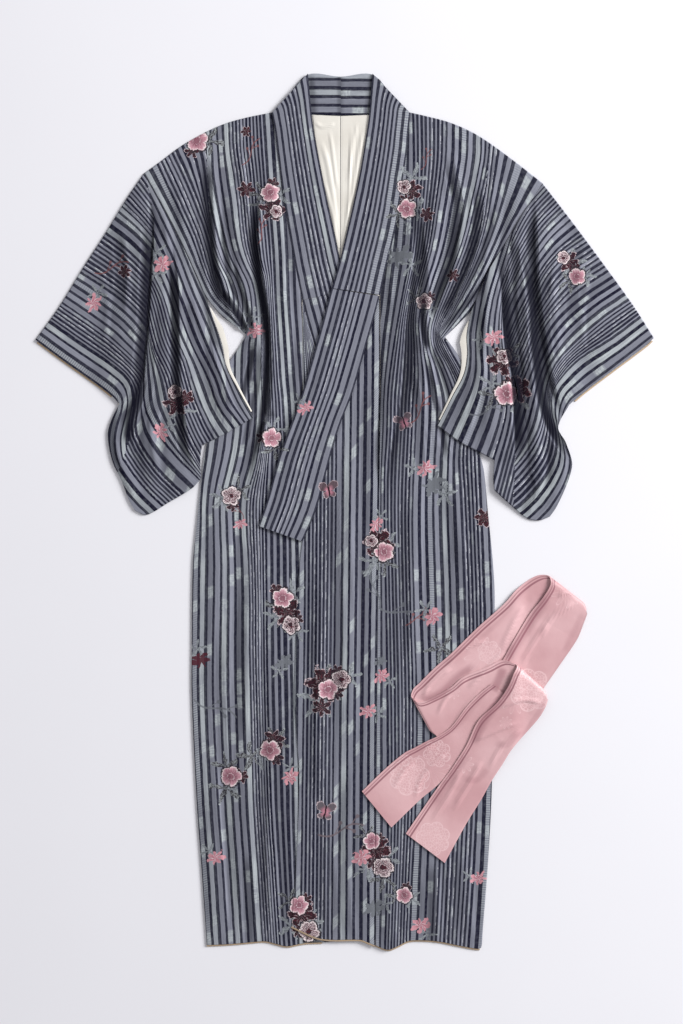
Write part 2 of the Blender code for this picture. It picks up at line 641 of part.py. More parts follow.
body_right = body_panel(
    "body_right", RIGHT_SHOULDER, RIGHT_SIDE, RIGHT_FRONT_EDGE, RIGHT_FRONT_HEM,
    RIGHT_BACK_TOP, RIGHT_CENTRE_BACK, RIGHT_BACK_HEM, RIGHT_FOLDS, under_base, right_cover, stripe,
)
body_left = body_panel(
    "body_left", LEFT_SHOULDER, LEFT_SIDE, LEFT_FRONT_EDGE, LEFT_FRONT_HEM,
    LEFT_BACK_TOP, LEFT_CENTRE_BACK, LEFT_BACK_HEM, LEFT_FOLDS, over_base, left_cover, stripe,
)

band("overlap_right", UNDER_OVERLAP, [UNDER_LAYER], [WALL], stripe, rows=9, columns=1, crown=0)

seam, edge = spline(OVERLAP_SEAM), spline(OVERLAP_EDGE)
hem = spline(OVERLAP_HEM)
overlap = patch(None, hem, seam, edge, shares(9, hem), shares(32, edge)[1:])
overlap = apart(overlap, GAP, 2 * GAP)
lift = fold_height(overlap, OVERLAP_FOLDS) * clear_of_sash(overlap)
laid_sheet("overlap_left", overlap, over_base(overlap) + lift, WALL, stripe)

side_right = [row for row in RIGHT_SIDE if row[1] < 275]
side_left = [row for row in LEFT_SIDE if row[1] < 275]
sleeve(
    "sleeve_right", RIGHT_SLEEVE, RIGHT_SLEEVE_FOLDS,
    lambda plan: over_body(plan, side_right, 1), stripe,
)
sleeve(
    "sleeve_left", LEFT_SLEEVE, LEFT_SLEEVE_FOLDS,
    lambda plan: over_body(plan, side_left, -1), stripe,
)

band("over_collar_neck", NECK_BAND, [0.0], [BAND], stripe, rows=14, crown=0.3)
band("over_collar_right", UNDER_COLLAR_TOP, LAPPED_BAND_BASES, LAPPED_BAND_WALLS, stripe)
band("collar_right", UNDER_COLLAR_LOW, [UNDER_LAYER], [WALL], stripe, rows=8, columns=1)
band("over_collar_left", OVER_COLLAR_TOP, LEFT_BAND_BASES, [BAND], stripe)
band("collar_left", OVER_COLLAR_LOW, [OVER_BAND_BASE], [BAND], stripe)

band("neck_lining_right", NECK_LINING_RIGHT, [UNDER_LAYER], [LINING_WALL], cream, rows=8, columns=2, crown=0)
band("neck_lining_left", NECK_LINING_LEFT, [UNDER_LAYER], [LINING_WALL], cream, rows=8, columns=2, crown=0)

right_seam, right_cuff = spline(RIGHT_SLEEVE["seam"]), spline(RIGHT_SLEEVE["cuff"])
left_seam, left_cuff = spline(LEFT_SLEEVE["seam"]), spline(LEFT_SLEEVE["cuff"])
right_open_span = (right_seam[2][0] + 0.04, 0.98)
left_open_span = (left_seam[2][0] + 0.04, 0.98)
right_cuff_span = (0.01, right_cuff[2][0] - 0.05)
left_cuff_span = (0.01, left_cuff[2][0] - 0.03)


def right_edge_base(plan):
    return over_body(plan, side_right, 1) + GAP


def left_edge_base(plan):
    return over_body(plan, side_left, -1) + GAP


facing(
    "open_edge_lining_right", right_seam, right_open_span, RIGHT_OPEN_WIDTHS, 1,
    right_edge_base, CUFF_FACING_HEIGHT, cream, rows=20, off=1.2,
)
facing(
    "open_edge_lining_left", left_seam, left_open_span, LEFT_OPEN_WIDTHS, -1,
    left_edge_base, CUFF_FACING_HEIGHT, cream, rows=20, off=1.2,
)
facing(
    "cuff_facing_right", right_cuff, right_cuff_span, [FACING_WIDTH], -1,
    0.0, CUFF_FACING_HEIGHT, tan, rows=8, off=0.9,
)
facing(
    "cuff_facing_left", left_cuff, left_cuff_span, [FACING_WIDTH], 1,
    0.0, CUFF_FACING_HEIGHT, tan, rows=8, off=0.9,
)
facing(
    "hem_facing_right", spline(UNDER_HEM), (0, 1), [FACING_WIDTH], -1,
    0.0, FACING_HEIGHT, tan, rows=20,
)
facing(
    "hem_facing_overlap", hem, (0, 1), [FACING_WIDTH], 1,
    OVER_LAYER, FACING_HEIGHT, tan, rows=9,
)
facing(
    "hem_facing_left", spline(LEFT_FRONT_HEM), (0, 1), [FACING_WIDTH], 1,
    0.0, FACING_HEIGHT, tan, rows=22,
)

sash_band("sash", SASH_PATH, pink)
sash_band("sash_end", SASH_END_PATH, pink)
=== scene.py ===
# Kimono robe laid flat with its folded pink sash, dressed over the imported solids.
# Places are millimetres across and up the robe, heights are millimetres above the table.
import bisect
import math

import bmesh
import bpy
import numpy as np
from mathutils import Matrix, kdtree


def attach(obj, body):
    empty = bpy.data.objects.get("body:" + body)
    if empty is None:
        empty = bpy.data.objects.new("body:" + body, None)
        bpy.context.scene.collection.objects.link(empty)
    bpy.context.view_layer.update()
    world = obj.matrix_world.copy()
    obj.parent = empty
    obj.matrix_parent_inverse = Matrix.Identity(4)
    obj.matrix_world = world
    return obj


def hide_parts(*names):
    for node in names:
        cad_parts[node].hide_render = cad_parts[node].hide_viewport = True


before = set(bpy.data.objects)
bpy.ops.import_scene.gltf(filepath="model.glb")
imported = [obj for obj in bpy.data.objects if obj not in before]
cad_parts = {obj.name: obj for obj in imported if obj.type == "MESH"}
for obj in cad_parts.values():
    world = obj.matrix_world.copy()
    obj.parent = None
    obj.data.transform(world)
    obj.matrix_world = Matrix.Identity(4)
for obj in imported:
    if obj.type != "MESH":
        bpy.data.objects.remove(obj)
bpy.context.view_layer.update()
print("solids loaded")

mm = 0.001
middle = np.array([-0.05, -1.52, 0.0])

cloth = {
    "wall": 1.6, "gap": 0.4, "band": 2.8, "lining": 1.0, "sleeveWall": 1.5, "sleeveLift": 2.2,
    "bandLift": 5.2, "sashWall": 1.7, "rollReach": 40,
}
underLift = cloth["wall"] + cloth["gap"]
overLift = 2 * underLift

# edges seen from above, a place written twice is a sharp corner
rightBody = {
    "shoulder": [
        (-361, 606), (-332, 627), (-293, 656), (-253, 679), (-215, 696), (-176, 707), (-131, 716),
    ],
    "side": [
        (-361, 606), (-327, 546), (-291, 476), (-264, 417), (-249, 384), (-249, 384), (-222, 352),
        (-201, 336), (-177, 318), (-177, 318), (-188, 298), (-208, 267), (-228, 201),
        (-249, 116), (-258, 53), (-266, -21), (-273, -95), (-275, -240),
        (-275, -336), (-266, -525), (-258, -635), (-248, -780),
    ],
    "hem": [
        (-248, -780), (-207, -778), (-172, -775), (-143, -773), (-122, -778),
        (-104, -782), (-82, -778), (-69, -776),
    ],
    "centre": [(-8, 711), (-8, -768)],
    "backHem": [(-248, -780), (-240, -771), (-8, -768)],
}
leftBody = {
    "shoulder": [
        (355, 589), (304, 629), (256, 664), (226, 682), (186, 699), (148, 709), (118, 716),
    ],
    "side": [
        (355, 589), (323, 539), (289, 483), (258, 431), (243, 395), (228, 361), (228, 361),
        (204, 336), (180, 313), (180, 313), (199, 289), (210, 267),
        (226, 201), (244, 101), (251, 71), (258, -3), (267, -95), (270, -159),
        (265, -489), (262, -563), (255, -672), (249, -746), (247, -779),
    ],
    "hem": [
        (247, -779), (244, -786), (228, -785), (202, -780), (166, -773), (130, -771),
        (113, -773), (95, -782), (78, -788), (55, -780),
    ],
    "centre": [(-7, 711), (-7, -768)],
    "backHem": [(247, -779), (238, -769), (-7, -768)],
}
rightBody["backTop"] = rightBody["shoulder"][:-1] + [(-132, 714), (-132, 714), (-8, 711)]
leftBody["backTop"] = leftBody["shoulder"][:-1] + [(118, 714), (118, 714), (-7, 711)]

# front overlap panels and collar bands, a row per station: first edge and second edge
underOverlap = [
    ((-75, 354), (-72, 354)), ((-75, 321), (-63, 321)), ((-74, 211), (-33, 211)),
    ((-74, 163), (-14, 163)), ((-73, 109), (4, 109)), ((-73, 64), (16, 64)),
    ((-72, -1), (34, -1)), ((-71, -54), (57, -54)), ((-69, -339), (71, -339)),
    ((-68, -609), (75, -609)), ((-68, -776), (78, -769)),
]
overlapSeam = [(63, 387), (63, 201), (59, -159), (56, -519), (54, -780)]
overlapHem = [(54, -780), (42, -775), (28, -770), (-23, -770), (-51, -766), (-95, -746)]
underCollarTop = [
    ((-66, 787), (-131, 716)), ((-59, 712), (-124, 679)), ((-53, 669), (-120, 643)),
    ((-35, 575), (-109, 561)), ((-18, 498), (-96, 483)), ((-8, 453), (-88, 438)),
    ((8, 399), (-77, 382)),
]
underCollarLow = [
    ((9, 397), (-76, 380)), ((23, 343), (-60, 321)), ((53, 237), (-29, 211)),
    ((68, 189), (-10, 163)), ((90, 134), (7, 109)), ((104, 90), (20, 64)),
    ((122, 24), (38, -1)), ((139, -26), (61, -54)),
]
overCollarTop = [
    ((50, 787), (118, 716)), ((44, 712), (114, 678)), ((40, 683), (112, 651)),
    ((28, 611), (103, 588)), ((13, 541), (93, 516)), ((-8, 453), (73, 432)),
    ((-23, 401), (64, 389)),
]
overCollarLow = [
    ((-24, 400), (63, 387)), ((-39, 343), (45, 321)), ((-69, 237), (13, 211)),
    ((-84, 189), (-6, 163)), ((-105, 134), (-23, 109)), ((-120, 90), (-35, 64)),
    ((-138, 24), (-53, -1)), ((-155, -26), (-76, -54)),
]
neckBand = [
    ((-125, 722), (-124, 718)), ((-102, 748), (-98, 716)), ((-66, 786), (-64, 715)),
    ((-7, 782), (-7, 712)), ((50, 786), (49, 715)), ((87, 746), (84, 716)),
    ((111, 722), (110, 718)),
]
rightFrontEdge = [row[1] for row in underCollarTop] + [
    (-77, 382), (-75, 201), (-71, -159), (-69, -519), (-69, -776),
]
leftFrontEdge = [row[1] for row in overCollarTop] + [
    (64, 389), (64, 201), (60, -159), (57, -519), (55, -780),
]
overlapEdge = [row[1] for row in overCollarLow] + [
    (-76, -54), (-81, -95), (-86, -149), (-88, -240), (-90, -339), (-87, -397),
    (-82, -471), (-84, -573), (-89, -663), (-95, -746),
]
neckLiningRight = [
    ((-57, 713), (-8, 711)), ((-52, 669), (-8, 669)), ((-34, 575), (-8, 575)),
    ((-17, 498), (-8, 498)), ((-12, 474), (-8, 474)),
]
neckLiningLeft = [
    ((75, 714), (-7, 711)), ((75, 669), (-7, 669)), ((60, 575), (-7, 575)),
    ((39, 498), (-7, 498)), ((24, 456), (-6, 456)),
]

rightSleeve = {
    "shoulder": [
        (-361, 606), (-391, 562), (-429, 500), (-471, 435), (-512, 368), (-555, 308),
    ],
    "cuff": [
        (-555, 308), (-505, 271), (-464, 242), (-422, 211), (-405, 193), (-405, 193),
        (-420, 163), (-426, 138), (-418, 91), (-401, 55), (-388, 21), (-378, 3),
    ],
    "bottom": [
        (-165, 170), (-215, 141), (-257, 120), (-257, 120), (-260, 96), (-259, 60),
        (-259, 60), (-276, 42), (-318, 17), (-347, -1), (-361, -5), (-378, 3),
    ],
    "seam": rightBody["side"][:6] + [(-236, 345), (-221, 300), (-213, 260), (-195, 224), (-165, 170)],
}
leftSleeve = {
    "shoulder": [
        (355, 589), (402, 528), (460, 450), (519, 368), (555, 311),
    ],
    "cuff": [
        (555, 311), (541, 298), (481, 253), (431, 215), (404, 192), (404, 192),
        (384, 152), (397, 125), (409, 89), (406, 67), (397, 42), (381, 8), (370, -8),
    ],
    "bottom": [
        (168, 155), (206, 127), (240, 109), (270, 93), (270, 93), (268, 60),
        (270, 39), (270, 39), (300, 12), (328, -11), (350, -15), (370, -8),
    ],
    "seam": leftBody["side"][:7] + [(220, 318), (221, 283), (215, 247), (195, 208), (168, 155)],
}
openEdge = {"right": [0.8, 10, 9, 5, 3.5, 2.6], "left": [1, 12, 8, 5, 3.5, 2.6], "facing": 2.6}

# folds: crest from top to bottom, reach to each side of it, height
rightSeamFolds = [
    ([(-278, 615), (-275, 507), (-266, 406), (-246, 287)], 28, 14, 5),  # upper roll
    ([(-345, 585), (-318, 516), (-292, 440), (-276, 361)], 22, 26, 4),  # seam roll
]
leftSeamFolds = [
    ([(280, 615), (265, 507), (258, 399), (255, 287)], 16, 26, 5),  # upper roll
    ([(338, 575), (316, 507), (298, 435), (289, 363)], 26, 22, 4),  # seam roll
]
rightFolds = rightSeamFolds + [
    ([(-167, 579), (-149, 449), (-132, 327), (-130, 201), (-149, 129), (-170, 46)], 7, 42, 9),  # pleat
    ([(-210, 615), (-188, 471), (-163, 348), (-156, 287), (-167, 201)], 26, 26, 7),  # chest side roll
    ([(-235, 579), (-226, 449), (-203, 370), (-183, 334)], 14, 12, 6),  # armpit roll
    ([(-141, 651), (-118, 489), (-100, 345), (-104, 237)], 20, 16, 4),  # neck fold
    ([(-208, 75), (-221, -159), (-221, -375)], 30, 30, 3),  # hip fold
    ([(-170, -87), (-174, -375), (-172, -757)], 28, 28, 3.5),  # skirt fold
    ([(-237, -447), (-231, -627), (-226, -768)], 22, 26, 3),  # hem fold
    ([(-123, -231), (-122, -483), (-129, -764)], 22, 22, 3),  # inner hem fold
]
leftFolds = leftSeamFolds + [
    ([(143, 579), (120, 449), (104, 327), (96, 210), (78, 111), (66, 35)], 42, 7, 9),  # chest pleat
    ([(183, 615), (161, 489), (145, 381), (143, 291), (130, 156)], 24, 24, 7),  # chest side roll
    ([(222, 561), (201, 449), (172, 370), (157, 319)], 12, 16, 6),  # armpit roll
    ([(186, 107), (201, -15), (211, -105)], 26, 26, 3),  # hip fold
    ([(132, 75), (125, -87), (114, -321)], 26, 26, 3),  # skirt fold
    ([(156, -609), (159, -699), (165, -761)], 24, 24, 3),  # hem fold
    ([(219, -609), (222, -699), (226, -768)], 18, 18, 3),  # side hem fold
    ([(85, -627), (84, -708), (80, -775)], 20, 20, 3.5),  # seam hem fold
]
overlapFolds = [
    ([(-33, -51), (-41, -303), (-41, -519)], 24, 24, 2.5),  # front edge fold
    ([(13, 165), (10, -87), (12, -447)], 22, 22, 3),  # inner fold
    ([(-6, -519), (-5, -645), (-1, -761)], 22, 26, 3.5),  # hem fold
]
rightSleeveFolds = rightSeamFolds + [
    ([(-357, 593), (-354, 489), (-361, 381), (-367, 291), (-379, 228), (-397, 184)], 80, 8, 10),  # cuff lap
    ([(-321, 561), (-327, 399), (-332, 273), (-347, 147), (-336, 28)], 26, 22, 6),  # middle roll
    ([(-314, 471), (-296, 327), (-289, 201), (-275, 107)], 8, 60, 8),  # flap lap
    ([(-239, 309), (-226, 228), (-203, 165)], 20, 18, 4),  # flap roll
    ([(-401, 172), (-408, 129), (-397, 75), (-375, 21)], 12, 26, 4),  # corner roll
]
leftSleeveFolds = leftSeamFolds + [
    ([(345, 579), (348, 489), (354, 381), (366, 291), (381, 219), (395, 179)], 8, 80, 9),  # cuff lap
    ([(314, 543), (323, 399), (334, 273), (345, 147), (352, 21)], 20, 20, 8),  # middle roll
    ([(273, 449), (278, 345), (292, 237), (300, 147), (301, 93)], 60, 8, 8),  # flap lap
    ([(244, 291), (233, 210), (211, 147)], 18, 20, 4),  # flap roll
    ([(390, 157), (395, 114), (391, 57), (370, 12)], 26, 12, 4),  # corner roll
]

# where one layer covers another, as the X of the covering edge at each Y
covers = {
    "overFront": [
        (1, 489), (-24, 399), (-39, 343), (-69, 237), (-105, 134), (-138, 24), (-158, -26),
        (-80, -57), (-87, -149), (-93, -339), (-89, -447), (-98, -746),
    ],
    "rightFlap": [
        (-278, 291), (-221, 276), (-210, 260), (-188, 224), (-159, 170), (-176, 157), (-251, 114),
        (-296, 100),
    ],
    "leftFlap": [
        (280, 301), (220, 287), (210, 269), (199, 237), (183, 204), (161, 159), (179, 141), (202, 120),
        (240, 100), (298, 67),
    ],
    "hiddenLayer": [
        (1, 471), (9, 397), (23, 343), (53, 237), (90, 134), (122, 24),
        (143, -26), (143, -60), (87, -123), (84, -771),
    ],
    "margin": 5, "fade": 24, "hiddenStep": (4, 54), "sideStep": (-70, -20), "sideStepTop": (420, 360),
}

# sash: upper edge, lower edge, how high each lies, and the way its outer face looks
sashFacts = {"from": (85, -559), "to": (388, -174), "reach": (105, 145), "step": (300, 332)}
sashPath = [
    ((110, -579), (180, -632), 0.2, 0.2, 1),
    ((145, -528), (219, -561), 0.4, 0.2, 1),
    ((172, -489), (245, -519), 1.4, 0.4, 1),
    ((192, -462), (265, -483), 3.8, 1.4, 1),
    ((219, -419), (283, -455), 7.2, 4.2, 1),
    ((240, -375), (301, -426), 10.4, 7.6, 1),
    ((273, -343), (348, -372), 13.0, 10.4, 1),
    ((292, -316), (361, -350), 15.0, 12.4, 1),
    ((303, -291), (365, -338), 15.2, 11.6, 1),
    ((309, -276), (367, -329), 10.8, 8.4, 0),
    ((301, -272), (361, -329), 6.4, 5.6, -1),
    ((283, -267), (337, -339), 5.2, 5.0, -1),
    ((255, -280), (301, -356), 5.0, 4.8, -1),
    ((212, -298), (256, -372), 3.6, 3.0, -1),
    ((192, -315), (222, -386), 3.0, 2.6, -1),
    ((163, -332), (190, -397), 2.8, 2.6, -1),
    ((134, -343), (165, -404), 2.8, 2.6, -1),
    ((121, -334), (158, -402), 1.6, 1.5, 0),
    ((123, -320), (172, -392), 0.2, 0.2, 1),
    ((134, -309), (193, -375), 0.2, 0.2, 1),
    ((161, -282), (222, -347), 0.2, 0.2, 1),
    ((192, -255), (251, -321), 0.2, 0.2, 1),
    ((240, -208), (298, -275), 0.2, 0.2, 1),
    ((287, -166), (343, -235), 0.2, 0.2, 1),
    ((312, -138), (381, -206), 0.2, 0.2, 1),
    ((345, -116), (420, -179), 0.2, 0.2, 1),
    ((368, -117), (437, -170), 3.2, 2.4, 0),
    ((370, -131), (436, -183), 6.4, 4.8, -1),
    ((357, -154), (429, -203), 6.0, 4.0, -1),
    ((334, -183), (418, -230), 3.4, 2.8, -1),
    ((305, -230), (387, -276), 2.6, 2.6, -1),
    ((287, -262), (360, -315), 2.5, 2.5, -1),
    ((269, -296), (341, -343), 2.4, 2.4, -1),
]
sashEndPath = [
    ((31, -503), (84, -568), 0.2, 0.2, 1),
    ((78, -458), (136, -518), 0.3, 0.2, 1),
    ((109, -433), (165, -494), 1.2, 0.2, 1),
    ((123, -426), (177, -482), 2.4, 0.3, 1),
    ((147, -413), (193, -465), 4.6, 0.6, 1),
    ((170, -402), (208, -451), 5.6, 1.2, 1),
    ((192, -386), (229, -433), 5.8, 2.2, 1),
    ((219, -350), (262, -408), 6.6, 4.4, 1),
    ((244, -325), (291, -379), 7.6, 7.2, 1),
    ((265, -309), (316, -354), 8.0, 7.8, 1),
]


def smooth(value, start=0.0, end=1.0):
    value = np.clip((value - start) / (end - start), 0.0, 1.0)
    return value * value * (3.0 - 2.0 * value)


def spline(points, steps=6):
    dense = [np.array(points[0], float)]
    corners = []
    for k in range(len(points) - 1):
        a, b = np.array(points[k], float), np.array(points[k + 1], float)
        if (a == b).all():
            corners.append(len(dense) - 1)
            continue
        before = np.array(points[k - 1], float) if k > 0 else a
        after = np.array(points[k + 2], float) if k + 2 < len(points) else b
        reach = np.linalg.norm(b - a)
        start = (b - before) * reach / (reach + np.linalg.norm(a - before))
        end = (after - a) * reach / (reach + np.linalg.norm(after - b))
        for step in range(1, steps + 1):
            u = step / steps
            dense.append(
                (2 * u**3 - 3 * u**2 + 1) * a + (u**3 - 2 * u**2 + u) * start
                + (3 * u**2 - 2 * u**3) * b + (u**3 - u**2) * end
            )
    dense = np.array(dense)
    along = np.concatenate([[0], np.cumsum(np.linalg.norm(np.diff(dense, axis=0), axis=1))])
    along = along / along[-1]
    return dense, along, [along[c] for c in corners]


def place(line, share):
    dense, along, _ = line
    return np.stack([np.interp(share, along, dense[:, k]) for k in range(2)], axis=-1)


# least room between two corners and beside one in shares of a step, and a corner's least share from an end
stepFacts = {"between": 0.3, "beside": 0.45, "end": 0.002}


def stepsAlong(count, *lines):
    # even steps from 0 to 1, each corner of the lines gets one of its own
    end = stepFacts["end"]
    corners = sorted({round(c, 5) for line in lines for c in line[2] if end < c < 1 - end})
    kept = []
    for corner in corners:
        if not kept or corner - kept[-1] > stepFacts["between"] / count:
            kept.append(corner)
    found = list(kept)
    for even in np.linspace(0, 1, count + 1):
        at = bisect.bisect(kept, even)
        near = [abs(even - other) for other in kept[max(0, at - 1):at + 1]]
        if even in (0.0, 1.0) or not near or min(near) > stepFacts["beside"] / count:
            found.append(float(even))
    return np.array(sorted(found))


def patch(top, bottom, first, last, s, t):
    across, down = np.meshgrid(s, t, indexing="ij")
    across, down = across[..., None], down[..., None]
    left, right = place(first, t)[None], place(last, t)[None]
    lower = place(bottom, s)[:, None]
    upper = (1 - across[:, :1]) * left[:, :1] + across[:, :1] * right[:, :1]
    if top:
        upper = place(top, s)[:, None]
    corners = (
        (1 - across) * ((1 - down) * left[:, :1] + down * left[:, -1:])
        + across * ((1 - down) * right[:, :1] + down * right[:, -1:])
    )
    return (1 - down) * upper + down * lower + (1 - across) * left + across * right - corners


def apart(plan, first=0.0, last=0.0):
    # a seam's allowance: the outer columns are drawn in a little
    for here, other, reach in ((0, 1, first), (-1, -2, last)):
        step = plan[other] - plan[here]
        plan[here] += reach * step / np.linalg.norm(step, axis=-1, keepdims=True)
    return plan


def nearLine(plan, dense, along):
    # distance, side and share of the nearest place on a line
    best = np.full(plan.shape[:-1], 1e9)
    side = np.zeros(plan.shape[:-1])
    share = np.zeros(plan.shape[:-1])
    for k in range(len(dense) - 1):
        a, d = dense[k], dense[k + 1] - dense[k]
        u = np.clip(((plan - a) @ d) / (d @ d), 0, 1)
        off = plan - a - u[..., None] * d
        far = np.hypot(off[..., 0], off[..., 1])
        cross = d[0] * off[..., 1] - d[1] * off[..., 0]
        nearer = far < best
        best = np.where(nearer, far, best)
        side = np.where(nearer, cross, side)
        share = np.where(nearer, along[k] + u * (along[k + 1] - along[k]), share)
    return best, side, share


foldFade = {"top": (0, 0.25), "bottom": (-0.03, 0.17)}


def foldHeight(plan, folds):
    # a smooth ridge along each crest, fading out towards its ends
    height = np.zeros(plan.shape[:-1])
    for crest, west, east, rise in folds:
        dense, along, _ = spline(crest, 4)
        best, side, share = nearLine(plan, dense, along)
        reach = np.where(side > 0, east, west)
        profile = np.cos(0.5 * math.pi * np.clip(best / reach, 0, 1)) ** 2
        ends = smooth(share, *foldFade["top"]) * smooth(1 - share, *foldFade["bottom"])
        height += rise * profile * ends
    return height


def edgeX(plan, edge):
    rows = sorted(edge, key=lambda row: row[1])
    return np.interp(plan[..., 1], [row[1] for row in rows], [row[0] for row in rows])


def clearOfSash(plan):
    a, b = np.array(sashFacts["from"], float), np.array(sashFacts["to"], float)
    u = np.clip(((plan - a) @ (b - a)) / ((b - a) @ (b - a)), 0, 1)
    off = plan - a - u[..., None] * (b - a)
    return smooth(np.hypot(off[..., 0], off[..., 1]), *sashFacts["reach"])


def withHeight(plan, height):
    return np.concatenate([plan, np.broadcast_to(height, plan.shape[:-1])[..., None]], axis=-1)


def outward(plan, edge):
    step = plan[:, 0] - plan[:, 1] if edge == 0 else plan[:, -1] - plan[:, -2]
    return step / np.linalg.norm(step, axis=-1, keepdims=True)


def rightCover(plan):
    start, fade = covers["margin"], covers["fade"]
    over = smooth(edgeX(plan, covers["overFront"]) - plan[..., 0], start, start + fade)
    flap = smooth(plan[..., 0] - edgeX(plan, covers["rightFlap"]), 3 * start, 3 * start + fade)
    return over * flap


def leftCover(plan):
    start, fade = covers["margin"], covers["fade"]
    flap = smooth(edgeX(plan, covers["leftFlap"]) - plan[..., 0], 3 * start, 3 * start + fade)
    return flap * clearOfSash(plan)


def underBase(plan):
    return np.full(plan.shape[:-1], underLift)


def overBase(plan):
    beyond = plan[..., 0] - edgeX(plan, covers["hiddenLayer"])
    return overLift - (overLift - underLift) * smooth(beyond, *covers["hiddenStep"])


def overBody(plan, side, way):
    inside = way * (plan[..., 0] - edgeX(plan, side))
    lift = underLift + cloth["wall"] + cloth["gap"]
    return lift * smooth(inside, *covers["sideStep"]) * smooth(plan[..., 1], *covers["sideStepTop"])


def sashRest(plan):
    rest = overBase(plan) + cloth["wall"] + 2 * cloth["gap"]
    return rest * (1 - smooth(plan[..., 0], *sashFacts["step"]))


def guideField(plan, guides):
    # across the stripes and along them, read between guide lines
    gaps, runs = [], []
    past = 400  # each line runs on straight past its ends
    for u, points in guides:
        dense = spline(points, 3)[0]
        lengths = np.linalg.norm(np.diff(dense, axis=0), axis=1)
        first = dense[0] - (dense[1] - dense[0]) / lengths[0] * past
        final = dense[-1] + (dense[-1] - dense[-2]) / lengths[-1] * past
        dense = np.concatenate([[first], dense, [final]])
        length = np.concatenate([[-past], [0], np.cumsum(lengths), [lengths.sum() + past]])
        far, side, run = nearLine(plan, dense, length)
        gaps.append(np.where(side > 0, far, -far))
        runs.append(run)
    u = guides[0][0] + gaps[0]
    v = runs[0].copy()
    for k in range(len(guides) - 1):
        inside = gaps[k] > 0
        share = gaps[k] / np.maximum(gaps[k] - gaps[k + 1], 1e-6)
        step = guides[k + 1][0] - guides[k][0]
        between = inside & (gaps[k + 1] <= 0)
        beyond = inside & (gaps[k + 1] > 0)
        u = np.where(beyond, guides[k + 1][0] + gaps[k + 1], u)
        u = np.where(between, guides[k][0] + step * share, u)
        v = np.where(beyond, runs[k + 1], v)
        v = np.where(between, runs[k] + share * (runs[k + 1] - runs[k]), v)
    return np.stack([u, v], axis=-1)


def beside(plan, line):
    dense, along, _ = spline(line, 3)
    _, side, _ = nearLine(plan, dense, along)
    return side > 0


motifKinds = ("twig", "leaf", "dark", "bloom", "wing", "star")
outside, motifReach = 9.0, 1.3  # the local place of faces in no motif, and how far a motif is looked up
sharpAngle, mergeWithin = 0.9, 0.000001


def stampField(kind, corners, centres, stamps):
    # local place and tone of the motif that each face lies in, far away outside all of them
    values = np.tile(np.array([outside, outside, 0.0]), (len(corners), 1))
    best = np.full(len(corners), motifReach)
    for x, y, size, turn, tone in [row[1:] for row in stamps if row[0] == kind]:
        far = np.hypot(centres[:, 0] - x, centres[:, 1] - y) / size
        take = far < best
        best = np.where(take, far, best)
        c, s = math.cos(math.radians(turn)), math.sin(math.radians(turn))
        dx, dy = (corners[:, 0] - x) / size, (corners[:, 1] - y) / size
        local = np.stack([c * dx + s * dy, c * dy - s * dx, np.full(len(corners), tone)], axis=-1)
        values = np.where(take[:, None], local, values)
    return values


def addValues(mesh, name, values, domain="CORNER"):
    # one number or one vector at each place, for a look to read
    kind, field = ("FLOAT_VECTOR", "vector") if values.ndim == 2 else ("FLOAT", "value")
    layer = mesh.attributes.new(name, kind, domain)
    layer.data.foreach_set(field, values.astype(np.float32).ravel())


def meshGrid(name, outer, inner, looks, tube=False, stripe=None, stamps=(), innerLook=0, paintedShade=None):
    # a fine grid moved to its outer places, its inner side extruded from it
    columns, rows = outer.shape[:2]
    bm = bmesh.new()
    bmesh.ops.create_grid(bm, x_segments=columns - 1, y_segments=rows - 1 + tube, size=0.5)
    columnTag = bm.verts.layers.int.new("column")
    rowTag = bm.verts.layers.int.new("row")
    for vert in bm.verts:
        vert[columnTag] = round((vert.co.x + 0.5) * (columns - 1))
        vert[rowTag] = round((vert.co.y + 0.5) * (rows - 1 + tube)) % rows
        vert.co = (outer[vert[columnTag], vert[rowTag]] - middle) * mm
    if tube:
        bmesh.ops.remove_doubles(bm, verts=bm.verts, dist=mergeWithin)
    made = bmesh.ops.extrude_face_region(bm, geom=bm.faces[:], use_keep_orig=True)
    for part in made["geom"]:
        if isinstance(part, bmesh.types.BMVert):
            part.co = (inner[part[columnTag], part[rowTag]] - middle) * mm
        elif isinstance(part, bmesh.types.BMFace):
            part.material_index = innerLook
    bmesh.ops.recalc_face_normals(bm, faces=bm.faces)
    for edge in bm.edges:
        edge.smooth = len(edge.link_faces) == 2 and edge.calc_face_angle(0) < sharpAngle
    mesh = bpy.data.meshes.new(name)
    spots = [(vert[columnTag], vert[rowTag]) for vert in bm.verts]
    bm.to_mesh(mesh)
    bm.free()
    # painted shade: a darkening for each place, which the looks mix into the colour
    if paintedShade is not None:
        addValues(mesh, "paintedShade", np.array([paintedShade[spot] for spot in spots]), "POINT")
    for look in looks:
        mesh.materials.append(look)
    piece = bpy.data.objects.new(name, mesh)
    bpy.context.scene.collection.objects.link(piece)

    # corner values: the plan place of every corner and of its face's centre
    loops = np.empty(len(mesh.loops), np.int32)
    mesh.loops.foreach_get("vertex_index", loops)
    places = np.empty(len(mesh.vertices) * 3)
    mesh.vertices.foreach_get("co", places)
    places = places.reshape(-1, 3)[:, :2] / mm + middle[:2]
    counts = np.empty(len(mesh.polygons), np.int32)
    mesh.polygons.foreach_get("loop_total", counts)
    faceOf = np.repeat(np.arange(len(counts)), counts)
    centres = np.zeros((len(counts), 2))
    np.add.at(centres, faceOf, places[loops])
    centres /= counts[:, None]
    if stripe is not None:
        uv, pitch = stripe(places, loops, centres[faceOf])
        layer = mesh.uv_layers.new(name="stripes")
        layer.data.foreach_set("uv", uv.astype(np.float32).ravel())
        addValues(mesh, "pitch", pitch)
    for kind in motifKinds if stamps else ():
        addValues(mesh, kind, stampField(kind, places[loops], centres[faceOf], stamps))
    return piece


